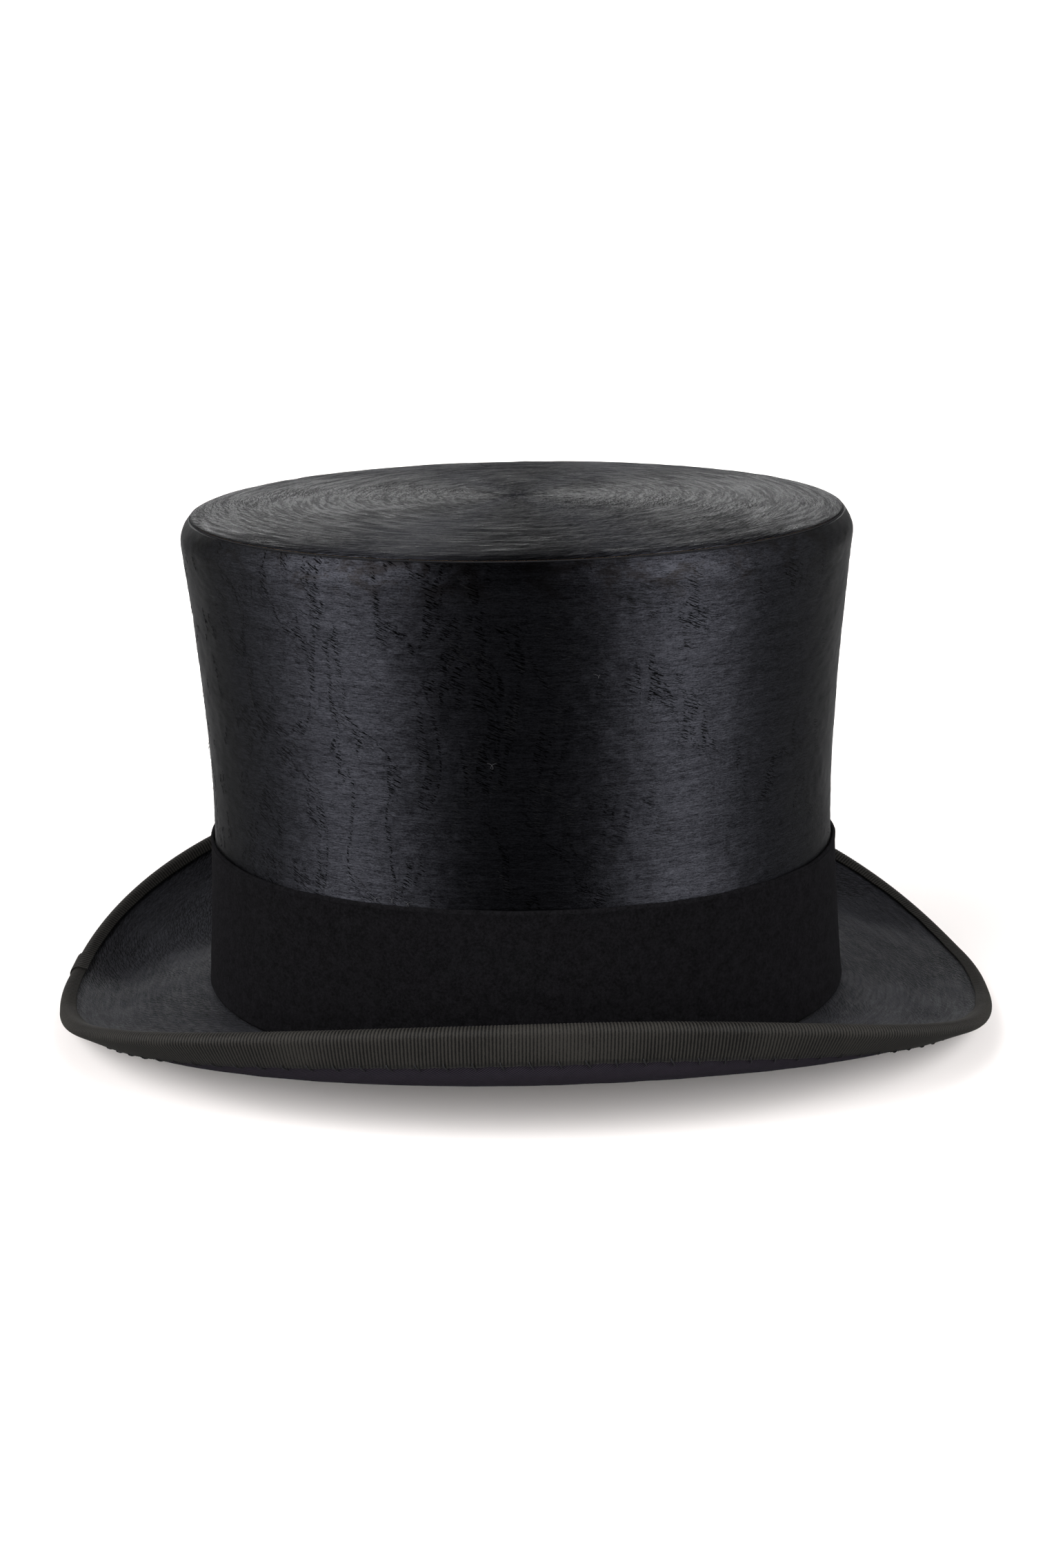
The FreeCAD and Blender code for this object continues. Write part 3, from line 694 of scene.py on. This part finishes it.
def plush_side():
    """Plush round the side, brushed level, with its pile standing unevenly."""
    a = angles(960)
    u = a / TURN
    foot, top = headline_z(a) + 12.0, seam_z(a) - 0.45

    def pile(a, share):
        swell = 0.10 * lumps(u, share, 60, 14, 11) + 0.06 * lumps(u, share, 150, 70, 12)
        return swell + 0.04 * lumps(u, share, 240, 150, 13) - 0.06

    rings = wall_section(a, foot, top, 0.0, PLUSH, 210, 30, pile, 1.3)
    grain = np.stack(
        np.broadcast_arrays(SIDE_LAY * np.cos(a), SIDE_LAY * np.sin(a), rings[..., 2]), -1
    )
    piece = ring_piece("plush_side", rings, "side_plush", "silk_plush", grain)
    wear(piece, SILK_SIDE)


def plush_tip():
    """Plush on the tip, brushed round and round its middle."""
    count = 720
    a = angles(count)
    u = a / TURN
    rings, grain = [], []

    def add(share, depth, pile):
        swell = 0.0
        if pile:
            swell = 0.09 * lumps(u, share, 70, 9, 21) + 0.07 * lumps(u, share, 140, 60, 22)
            swell = swell - 0.06
        rings.append(tip(a, share, depth) + np.stack([0 * a, 0 * a, 0 * a + swell], -1))
        across = 96.0 * share + depth * 3
        grain.append(np.stack([TIP_LAY * np.cos(a), TIP_LAY * np.sin(a), 0 * a + across], -1))

    shares = np.concatenate([np.linspace(1, 0.9, 26), np.linspace(0.893, 0.012, 118)])
    for share in shares[::-1]:
        add(share, 0.0, share < 0.985)
    for share in (1.0, 0.99, 0.97, 0.94, 0.9, 0.8, 0.65, 0.5, 0.2, 0.012):
        add(share, PLUSH, False)
    rings, grain = np.array(rings), np.array(grain)
    rows = len(rings)
    faces = grid_faces(rows, count, False, flip=True)
    points, grains = rings.reshape(-1, 3), grain.reshape(-1, 3)
    top_middle, foot_middle = rings[0].mean(0), rings[-1].mean(0)
    points = np.concatenate([points, [top_middle, foot_middle]])
    grains = np.concatenate([grains, [[0, 0, 0], [0, 0, 4]]])
    fans = fan_faces(0, count, rows * count) + fan_faces(rows - 1, count, rows * count + 1, True)
    v = np.repeat(np.arange(rows) / rows, count)
    lay = np.stack([v, np.tile(u, rows)], -1)
    lay = np.concatenate([lay, [[0, 0], [1, 0]]])
    faces = faces.tolist() + fans
    piece = mesh_piece("plush_tip", points, faces, "tip_plush", "silk_plush", grains, lay)
    wear(piece, SILK_TIP)


def plush_brim():
    """Plush on top of the brim, brushed round it and a little outwards."""
    a = angles(1080)
    u = a / TURN
    brim = Brim(a)
    width = brim.width - CLOTH_INSET
    top, foot = [], []
    for share in np.linspace(0, 1, 80):
        swell = 0.12 * lumps(u, share, 60, 6, 31) + 0.08 * lumps(u, share, 170, 24, 32) - 0.08
        swell = swell * smooth((1 - share) * 5 - 0.6)
        start = brim.start(-0.1, PLUSH_TOP)
        top.append(brim.at(start + (width - start) * share, PLUSH_TOP - swell)[0])
    for share in np.linspace(0, 1, 24):
        start = brim.start(-0.1, PLUSH_TOP + BRIM_PLUSH)
        foot.append(brim.at(start + (width - start) * share, PLUSH_TOP + BRIM_PLUSH)[0])
    rings = section(top, foot)
    rows = len(rings)
    across = np.concatenate([np.linspace(0, 50, 85), np.linspace(50, 0, rows - 85)])
    slant = 0.35 * across[:, None] / 100
    grain = np.stack(
        np.broadcast_arrays(
            BRIM_LAY * np.cos(a + slant), BRIM_LAY * np.sin(a + slant), across[:, None] + 0 * a
        ),
        -1,
    )
    piece = ring_piece("plush_brim", rings, "upper_brim_plush", "silk_plush", grain, flip=True)
    wear(piece, SILK_BRIM)


# ---- Cloth and ribbon -------------------------------------------------------------------------


def under_cloth():
    """Wool twill under the brim, stretched over its roll."""
    a = angles(900)
    u = a / TURN
    brim = Brim(a)
    end = brim.width - CLOTH_INSET
    foot, top = [], []
    for share in np.linspace(0, 1, 70):
        swell = 0.05 * lumps(u, share, 90, 12, 41) + 0.03 * lumps(u, share, 260, 50, 42)
        start = brim.start(2.95, CLOTH_FOOT)
        foot.append(brim.at(start + (end - start) * share, CLOTH_FOOT + swell - 0.03)[0])
    for share in np.linspace(0, 1, 24):
        start = brim.start(2.95, CLOTH_TOP)
        top.append(brim.at(start + (end - start) * share, CLOTH_TOP)[0])
    piece = ring_piece("cloth_under_brim", section(foot, top), "under_brim_cloth", "merino")
    wear(piece, MERINO)


def band():
    """Wool cloth band with turned edges, drawn tight round the foot of the crown."""
    a = angles(1080)
    u = a / TURN
    brim = Brim(a)
    faces_at = BAND_DEPTH, BAND_DEPTH + BAND
    feet = [brim.at(brim.start(depth, PLUSH_TOP), PLUSH_TOP)[0][:, 2] for depth in faces_at]
    foot, top = np.maximum(*feet) + BAND_CLEARANCE, headline_z(a) + BAND_TOP
    rise = 0.25 * lumps(u, 0, 17, 1, 51) + 0.1 * lumps(u, 0, 70, 1, 52)

    def body(a, share):
        fold = 0.22 * np.exp(-(((share - 0.985) / 0.02) ** 2))
        fold += 0.12 * np.exp(-(((share - 0.02) / 0.02) ** 2))
        swell = 0.10 * lumps(u, share, 48, 6, 53) + 0.04 * lumps(u, share, 200, 22, 54)
        join = np.minimum(a, TURN - a) * OVAL_LENGTH
        return fold + swell - 0.1 - 0.28 * np.exp(-((join / 0.5) ** 2))

    rings = wall_section(a, foot, top + rise, BAND_DEPTH, BAND - 0.05, 90, bulge=body)
    piece = ring_piece("cloth_band", rings, "hat_band", "band_cloth")
    wear(piece, BAND_WOOL)


def fold_rings(brim, top, foot, inset, cover, ribs=0.0, legs=LEGS, turns=TURNS):
    """Rings of a ribbon face that wraps the brim's edge. ribs is the height of its ribs."""
    wave = 0.5 + 0.5 * np.cos(brim.a * RIBS)
    radius, rings = (foot - top) / 2, []
    bend = inset + radius
    reach = np.linspace(1, 0, legs)
    for share in reach:
        rings.append(brim.edge(bend + (cover[0] - bend) * share, top - ribs * wave)[0])
    for turn in np.linspace(0, math.pi, turns + 2)[1:-1]:
        centre, up = brim.edge(bend, (top + foot) / 2)
        ahead, _ = brim.edge(bend - 0.5, (top + foot) / 2)
        forward = (ahead - centre) / np.linalg.norm(ahead - centre, axis=-1, keepdims=True)
        r = (radius + ribs * wave)[:, None]
        rings.append(centre + (forward * math.sin(turn) + up * math.cos(turn)) * r)
    for share in reach[::-1]:
        rings.append(brim.edge(bend + (cover[1] - bend) * share, foot + ribs * wave)[0])
    return rings


def ribs_at(rings, a):
    """The grain attribute of a ribbed ribbon."""
    grain = np.zeros(rings.shape)
    grain[..., 0] = 0.5 + 0.5 * np.cos(a * RIBS)
    grain[LEGS * 2 + TURNS - 1, :, 1] = 1
    return grain


def binding():
    """Ribbed ribbon folded over the brim's edge, hand-sewn, so that its edges waver."""
    a = angles(RIBS * 4)
    u = a / TURN
    brim = Brim(a)
    upper = BINDING_COVER_TOP + 0.28 * lumps(u, 0, 42, 1, 61) + 0.12 * lumps(u, 0, 130, 1, 62)
    scallop = 0.22 * np.abs(np.sin(a * 107 / 2)) - 0.12
    lower = BINDING_COVER + scallop + 0.15 * lumps(u, 0, 60, 1, 63)
    outer = fold_rings(brim, 0.09, BINDING_FOOT - 0.09, 0.09, (upper, lower), RIB_HEIGHT)
    cover = upper - 0.1, lower - 0.1
    top, foot = BINDING - 0.02, BINDING_FOOT - BINDING + 0.02
    inner = fold_rings(brim, top, foot, BINDING, cover, legs=3, turns=5)
    rings = np.array(outer + inner[::-1])
    grain = ribs_at(rings, a)
    piece = ring_piece("ribbon_binding", rings, "brim_binding", "petersham", grain, flip=True)
    wear(piece, PETERSHAM)


def binding_join():
    """The ribbon's turned-under end, lapped over its start at the back."""
    a = np.radians(JOIN_FROM + JOIN_WIDTH * np.linspace(0, 1, 61))
    brim = Brim(a)
    cover = BINDING_COVER_TOP, BINDING_COVER
    outer = fold_rings(brim, -0.62, BINDING_FOOT + 0.62, -0.62, cover, JOIN_RIB_HEIGHT)
    inner = fold_rings(brim, -0.2, BINDING_FOOT + 0.2, -0.2, cover)
    rings = np.array(outer + inner[::-1])
    rows, columns = rings.shape[:2]
    faces = grid_faces(rows, columns, True, False, flip=True).tolist() + end_faces(rows, columns)
    grain = ribs_at(rings, a)
    piece = mesh_piece("ribbon_join", rings, faces, "binding_join", "petersham", grain)
    wear(piece, PETERSHAM)


def robbin():
    """Calico strip round the foot of the crown, under the band."""
    a = angles(360)
    rings = wall_section(a, headline_z(a) - 1.25, headline_z(a) + 11.5, 0.15, 1.0, 20)
    piece = ring_piece("calico_robbin", rings, "headline_robbin", "calico")
    wear(piece, CALICO)


# ---- Threads ----------------------------------------------------------------------------------


def even_angles(points_of, pitch):
    """Angles evenly spaced along a ring of points round the hat."""
    fine = np.linspace(0, TURN, 1441)
    points = points_of(fine)
    length = np.concatenate([[0], np.cumsum(np.linalg.norm(np.diff(points, axis=0), axis=1))])
    count = round(length[-1] / pitch)
    return np.interp(np.arange(count) * length[-1] / count, length, fine)


def binding_stitches():
    """Hand stitches over the ribbon's lower edge, each a little different."""
    draw = np.random.RandomState(71)
    parts = []
    for a in even_angles(lambda t: Brim(t).edge(BINDING_COVER, BINDING_FOOT)[0], 8.0):
        if -2 < math.degrees(a) - JOIN_FROM < JOIN_WIDTH + 2:
            continue
        lean = 0.0044 + draw.uniform(-0.0015, 0.0015)
        a = a + draw.uniform(-0.001, 0.001)
        spots = [
            (a - lean * 1.1, BINDING_COVER - 1.15, BINDING_FOOT + 0.05),
            (a - lean, BINDING_COVER - 0.8, BINDING_FOOT + 0.3),
            (a - lean * 0.3, BINDING_COVER - 0.1, BINDING_FOOT + 0.3),
            (a + lean * 0.2, BINDING_COVER + 0.35, BINDING_FOOT + 0.1),
            (a + lean * 0.6, BINDING_COVER + 0.8, CLOTH_FOOT + 0.25),
            (a + lean, BINDING_COVER + 1.2 + draw.uniform(-0.1, 0.3), CLOTH_FOOT + 0.2),
            (a + lean * 1.1, BINDING_COVER + 1.5, CLOTH_FOOT - 0.1),
        ]
        path = np.array([Brim(np.array([t])).edge(s, d)[0][0] for t, s, d in spots])
        t = np.linspace(0, len(path) - 1, 19)
        path = np.stack([np.interp(t, np.arange(len(path)), path[:, k]) for k in range(3)], -1)
        parts.append(tube(path, 0.2, 8, 3.0, 2))
    strands("stitches_binding", parts, "binding_stitches", "pale_thread", GREY_THREAD)


def sweatband_stitches():
    """Running stitches through the leather's foot and the reed's tape."""
    def at(t):
        return wall(t, headline_z(t) - 0.9, LEATHER_FACE + 0.12)

    parts = []
    for a in even_angles(at, 5.2):
        half = 1.5 / np.linalg.norm(at(a + 0.01) - at(a)) * 0.01
        share = np.linspace(-1, 1, 13)
        t = a + half * share
        path = wall(t, headline_z(t) - 0.9, LEATHER_FACE + 0.3 - 0.35 * share**4)
        parts.append(tube(path, 0.24, 8, 3.0, 2))
    strands("stitches_sweatband", parts, "sweatband_stitches", "pale_thread", PALE_THREAD)


def band_stitches():
    """Slanting stitches up the band's join, on the wearer's left."""
    parts = []
    for i in range(11):
        z = headline_z(0.0) + 3.0 + (BAND_TOP - 6.0) * i / 10
        t = np.linspace(-1, 1, 9)
        path = wall(0.012 * t, z + 0.9 * t, BAND_DEPTH - 0.22 + 0.4 * t**4)
        parts.append(tube(path, 0.2, 8, 3.0, 2))
    strands("stitches_band", parts, "band_join_stitches", "dark_thread", DARK_THREAD)


def seam_thread():
    """Cord sewn between the side and the tip."""
    a = angles(3600)
    cord = tube(wall(a, seam_z(a) - 0.4, 0.4), 0.3, 8, 4.0, 2, closed=True)
    strands("seam_thread", [cord], "tip_seam_thread", "dark_thread", DARK_THREAD)


def hair(a, z, length, slope, lift, radius=0.1):
    """One tuft of pile, held at its start and lifting off the crown at its tip."""
    t = np.linspace(0, 1, 6)
    angle = a + length * math.cos(slope) * t / OVAL_LENGTH
    path = wall(angle, z - length * math.sin(slope) * t, 0.12 - lift * t**1.5)
    return tube(path, radius * (1.15 - t), 4)


def loose_hairs():
    """Tufts that have lifted out of the nap, in chains, most of them towards the back."""
    draw = np.random.RandomState(101)
    parts = []
    for _ in range(210):
        degrees = draw.triangular(40, 112, 300)
        a, z = math.radians(degrees), draw.uniform(66, 163)
        back = smooth((230 - degrees) / 120)
        for _ in range(draw.randint(2, 11)):
            a, z = a + draw.normal(0, 0.007), z - draw.uniform(0.6, 1.5)
            if headline_z(a) + 51 < z < seam_z(a) - 2:
                slope = math.radians(draw.uniform(2, 14) + 18 * back)
                length, lift = draw.uniform(1.2, 3.2), draw.uniform(0.05, 0.3) + 0.3 * back
                parts.append(hair(a, z, length, slope, lift))
    strands("loose_hairs", parts, None, "silk_plush", LOOSE_HAIR)


def lint():
    """Short curled fibres caught along the top of the band and on the nap."""
    draw = np.random.RandomState(102)
    on_band = (150, 49.5), (153, 50), (156, 49), (205, 50), (262, 50)
    on_nap = (171, 92), (188, 118), (97, 80)
    parts = []
    for degrees, height in on_band + on_nap:
        t = np.linspace(0, 1, 14)
        curl = draw.uniform(2.2, 4.2)
        size = draw.uniform(0.5, 0.9)
        angle = math.radians(degrees) + (2.6 * t + size * np.sin(curl * t * 2)) / OVAL_LENGTH
        z = headline_z(angle) + height + size * np.cos(curl * t * 2)
        parts.append(tube(wall(angle, z, -0.12 - 0.25 * np.sin(t * 3)), 0.05, 5))
    strands("lint", parts, None, "silk_plush", LINT)


# ---- Head fittings and lining -----------------------------------------------------------------


def sweatband():
    """Leather sweatband, with its join at the back and a little spring in its free edge."""
    a = angles(1080)
    u = a / TURN
    foot, top = headline_z(a) - 2.2, headline_z(a) + 46.0

    join = (a - math.pi / 2) * OVAL_LENGTH
    groove = 0.5 * np.exp(-((join / 0.5) ** 2))
    outer = [wall(a, foot + (top - foot) * s, LEATHER_DEPTH) for s in np.linspace(0, 1, 8)]
    inner = []
    for s in np.linspace(0, 1, 80):
        swell = 0.072 * lumps(u, s, 26, 5, 81) * smooth(s * 1.4)
        crease = 0.18 * np.exp(-(((s - 0.965) / 0.008) ** 2))
        crease += 0.16 * np.exp(-(((s - 0.045) / 0.012) ** 2))
        depth = LEATHER_FACE - 0.05 + swell - crease - groove
        inner.append(wall(a, foot + (top - foot) * s, depth))
    piece = ring_piece("leather_sweatband", section(outer, inner), "sweatband", "roan_leather")
    wear(piece, ROAN)


def reed_tape():
    """Tape rolled round the reed and up behind the leather."""
    a = angles(720)
    z0 = headline_z(a)
    centre_z, centre_depth, radius = -3.0, 4.2, 0.93
    path = [(6.0, 3.225), (3.0, 3.225), (0.0, 3.225), (-2.2, 3.25)]
    for turn in np.radians(np.linspace(170, 505, 26)):
        path.append((centre_z + radius * math.sin(turn), centre_depth + radius * math.cos(turn)))
    path = np.array(path)
    run = np.gradient(path, axis=0)
    run /= np.linalg.norm(run, axis=1, keepdims=True)
    normal = np.stack([run[:, 1], -run[:, 0]], -1) * 0.1
    rings = [wall(a, z0 + z, d) for z, d in path + normal]
    rings += [wall(a, z0 + z, d) for z, d in (path - normal)[::-1]]
    piece = ring_piece("tape_roll", np.array(rings), "reed_tape", "tape")
    wear(piece, TAPE)


def backing():
    """Scrap of tape behind the sweatband's join."""
    a = math.pi / 2 + np.linspace(-0.07, 0.07, 41)
    front, back = (
        [wall(a, headline_z(a) + z, depth) for z in np.linspace(7.5, 25.0, 30)]
        for depth in (LINING_DEPTH, LINING_DEPTH + LINING)
    )
    rings = np.array(front + back[::-1])
    rows, columns = rings.shape[:2]
    faces = grid_faces(rows, columns, True, False).tolist() + end_faces(rows, columns, True)
    piece = mesh_piece("tape_backing", rings, faces, "sweatband_backing", "tape")
    wear(piece, TAPE)


def bow():
    """Flat ribbon bow over the sweatband's join: two crushed loops and a wrapped knot."""
    z = headline_z(math.pi / 2) + 9.0
    base = wall(np.array(math.pi / 2), np.array(z), LEATHER_FACE)
    parts = []
    for side in (-1, 1):
        rings = []
        for k in range(64):
            turn = TURN * k / 64
            x = 2.45 + 5.5 - 5.4 * math.cos(turn)
            narrow = 0.45 + 0.55 * (x - 2.45) / 11
            lift = 1.3 * narrow * math.sin(turn)
            sag = 0.0067 * x * x
            half = 5.0 * (0.5 + 0.5 * smooth((x - 2.45) / 7))
            v = np.linspace(-1, 1, 17)
            crush = 0.22 * np.cos(v * 3 * math.pi) * (1 - smooth((x - 2.45) / 5))
            y = -1.65 - lift - sag + crush
            rings.append(np.stack([0 * v + side * x, 0 * v + y, half * v], -1) + base)
        rings = np.array(rings)
        inner = rings.copy()
        middle = rings.mean((0, 1))
        inner[..., 1] += np.sign(middle[1] - rings[..., 1]) * 0.22
        inner[..., 0] += np.sign(middle[0] - rings[..., 0]) * 0.12
        loop = np.concatenate([rings, inner[:, ::-1]], 1).swapaxes(0, 1)
        faces = grid_faces(*loop.shape[:2], True, flip=side > 0)
        parts.append((loop.reshape(-1, 3), faces))
    ring = []
    for k in range(40):
        turn = TURN * k / 40
        c, s = math.cos(turn), math.sin(turn)
        bulge = abs(c) ** 0.6 * math.copysign(2.15, c), abs(s) ** 0.6 * math.copysign(1.0, s)
        v = np.linspace(-1, 1, 25)
        pinch = (1 - 0.35 * np.abs(v) ** 6) * (1 + 0.05 * np.cos(v * 5 * math.pi))
        ring.append(np.stack([bulge[0] * pinch, bulge[1] * pinch - 1.25, 3.75 * v], -1) + base)
    ring = np.array(ring)
    rows, columns = ring.shape[:2]
    faces = grid_faces(rows, columns, True, False, flip=True).tolist()
    faces.append([i * columns for i in range(rows)])
    faces.append([i * columns + columns - 1 for i in range(rows)][::-1])
    loops_points, loops_faces = joined(parts)
    all_faces = loops_faces.tolist() + [[i + len(loops_points) for i in f] for f in faces]
    points = np.concatenate([loops_points, ring.reshape(-1, 3)])
    points[:, 1] -= (points[:, 2] - z) * math.tan(math.radians(3.5))
    piece = mesh_piece("ribbon_bow", points, all_faces, "sweatband_bow", "bow_ribbon")
    wear(piece, BOW_RIBBON)


def lining_side():
    """Satin round the inside of the crown, gathered into small folds towards the tip."""
    a = angles(1440)
    u = a / TURN
    foot, top = headline_z(a) + 26.0, seam_z(a) - 1.2
    folds = 0.5 + 0.5 * np.sin(a * GATHERS + 1.6 * lumps(u, 0, 31, 1, 91))
    faces_of = []
    for thick, rows in ((0.0, 60), (0.22, 110)):
        rings = []
        for s in np.linspace(0, 1, rows):
            hang = 0.35 * (0.5 + 0.5 * lumps(u, s, 40, 5, 92)) * smooth(s * 4)
            drape = 0.55 * folds * smooth((s - 0.25) / 0.75) + hang
            near_top = smooth((1 - s) * 30)
            rings.append(wall(a, foot + (top - foot) * s, LINING_DEPTH + thick + drape * near_top))
        faces_of.append(rings)
    piece = ring_piece("satin_side", section(*faces_of), "lining_side", "satin")
    wear(piece, CREAM_SATIN)


def lining_tip():
    """Oval of satin across the inside of the tip."""
    count = 480
    a = angles(count)
    u = a / TURN
    rings = []
    shares = np.concatenate([[1.0, 0.985], np.linspace(0.965, 0.02, 60)])
    for s in shares:
        pucker = 0.22 * np.sin(a * GATHERS) * smooth((s - 0.88) / 0.12)
        points = tip(a, s, SHELL_FACE + 0.42, LINING_TIP_DEPTH)
        points[..., 2] -= pucker + 0.12 * lumps(u, s, 14, 6, 93)
        rings.append(points)
    for s in (0.02, 0.3, 0.5, 0.65, 0.8, 0.9, 0.95, 1.0):
        rings.append(tip(a, s, SHELL_FACE + 0.12, LINING_TIP_DEPTH))
    rings = np.array(rings)
    half = len(shares)
    rows = len(rings)
    faces = grid_faces(rows, count, True, flip=True).reshape(rows, count, 4)
    faces = np.delete(faces, half - 1, axis=0).reshape(-1, 4).tolist()
    points = np.concatenate([rings.reshape(-1, 3), [rings[half - 1].mean(0), rings[half].mean(0)]])
    faces += fan_faces(half - 1, count, rows * count, True)
    faces += fan_faces(half, count, rows * count + 1)
    piece = mesh_piece("satin_tip", points, faces, "lining_tip", "satin")
    wear(piece, CREAM_SATIN)


def piping():
    """Covered cord round the seam of the lining."""
    a = angles(2400)
    cord = tube(wall(a, seam_z(a) - 2.1, 4.3), 0.78, 12, 0.9, 3, closed=True)
    strands("satin_piping", [cord], "lining_piping", "satin", CREAM_SATIN)


# ---- Stage ------------------------------------------------------------------------------------


def light_room(scene):
    """White room: soft panels at both sides, a low strip and a dim glow behind, a dark front.

    The camera itself sees white all round.
    """
    world = bpy.data.worlds.new("studio")
    scene.world = world
    world.use_nodes = True
    room = Nodes(world.node_tree)
    calc, ramp = room.math, room.fit
    x, y, z = room.split(room.add("TexCoord").outputs["Generated"])
    azimuth = calc("ARCTAN2", y, calc("MULTIPLY", x, -1.0))
    turn = calc("ABSOLUTE", azimuth)
    deg = math.pi / 180
    left = ramp(azimuth, 28 * deg, 60 * deg)
    left = calc("MULTIPLY", left, ramp(azimuth, 60 * deg, 98 * deg, 1, 0.16))
    right = ramp(azimuth, -50 * deg, -22 * deg, 1, 0)
    right = calc("MULTIPLY", right, ramp(azimuth, -82 * deg, -50 * deg, 0.09, 1))
    panels = calc("MULTIPLY", calc("ADD", left, right), ramp(z, 0.7, 0.96, 1, 0))
    panels = calc("MULTIPLY", panels, ramp(turn, 100 * deg, 130 * deg, 1, 0))
    strip = calc("MULTIPLY", ramp(z, 0.22, 0.27), ramp(z, 0.30, 0.35, 1, 0))
    behind = ramp(turn, 153 * deg, 168 * deg, 0, 1.3)
    behind = calc("ADD", behind, ramp(turn, 110 * deg, 145 * deg, 0, 0.2))
    behind = calc("MULTIPLY", behind, strip)
    above = calc("MULTIPLY", ramp(turn, 110 * deg, 150 * deg), ramp(z, 0.42, 0.62))
    above = calc("MULTIPLY", above, ramp(z, 0.7, 0.95, 1, 0))
    light = room.total((panels, PANEL), (behind, WALL), (above, FILL))
    camera_ray = room.add("LightPath").outputs["Is Camera Ray"]
    seen = calc("MAXIMUM", calc("ADD", light, DARK), calc("MULTIPLY", camera_ray, WHITE))
    background = room.nodes["Background"]
    background.inputs["Color"].default_value = (1, 1, 1, 1)
    room.feed(background.inputs["Strength"], seen)


PANEL, WALL, FILL, DARK, WHITE = 12.0, 6.5, 0.9, 0.06, 1.05


def studio():
    """Pale floor, the lit room, and the camera at the photograph's viewing angle."""
    scene = bpy.context.scene
    bpy.ops.mesh.primitive_circle_add(
        vertices=128, radius=1.5, fill_type="NGON", location=(0, 0, -0.0002)
    )
    floor = bpy.context.object
    floor.name = "floor"
    p = Paint("paper_floor")
    rays = p.add("LightPath")
    white = p.blend(p.noise(6, 2, 0.5), (0.92, 0.88, 0.865), (0.94, 0.90, 0.885))
    grey = p.blend(rays.outputs["Is Camera Ray"], (0.27, 0.27, 0.27), white)
    wear(floor, p.finish(grey, 0.9, Specular_IOR_Level=0.0))

    light_room(scene)

    lens = bpy.data.cameras.new("camera")
    lens.sensor_width, lens.lens = 36, 49.66
    camera = bpy.data.objects.new("camera", lens)
    camera.location = (-0.6717, 0.0517, 0.2831)
    look = Vector((0.9523, -0.0713, -0.2967))
    camera.rotation_euler = look.to_track_quat("-Z", "Y").to_euler()
    scene.collection.objects.link(camera)
    scene.camera = camera
    scene.view_settings.view_transform = "Standard"


plush_side()
plush_tip()
plush_brim()
under_cloth()
band()
binding()
binding_join()
robbin()
binding_stitches()
sweatband_stitches()
band_stitches()
seam_thread()
loose_hairs()
lint()
sweatband()
reed_tape()
backing()
bow()
lining_side()
lining_tip()
piping()
for node in ("crown_side_shell", "crown_tip_shell", "brim_shell"):
    wear(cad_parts[node], GOSSAMER)
wear(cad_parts["sweatband_reed"], CANE)
studio()
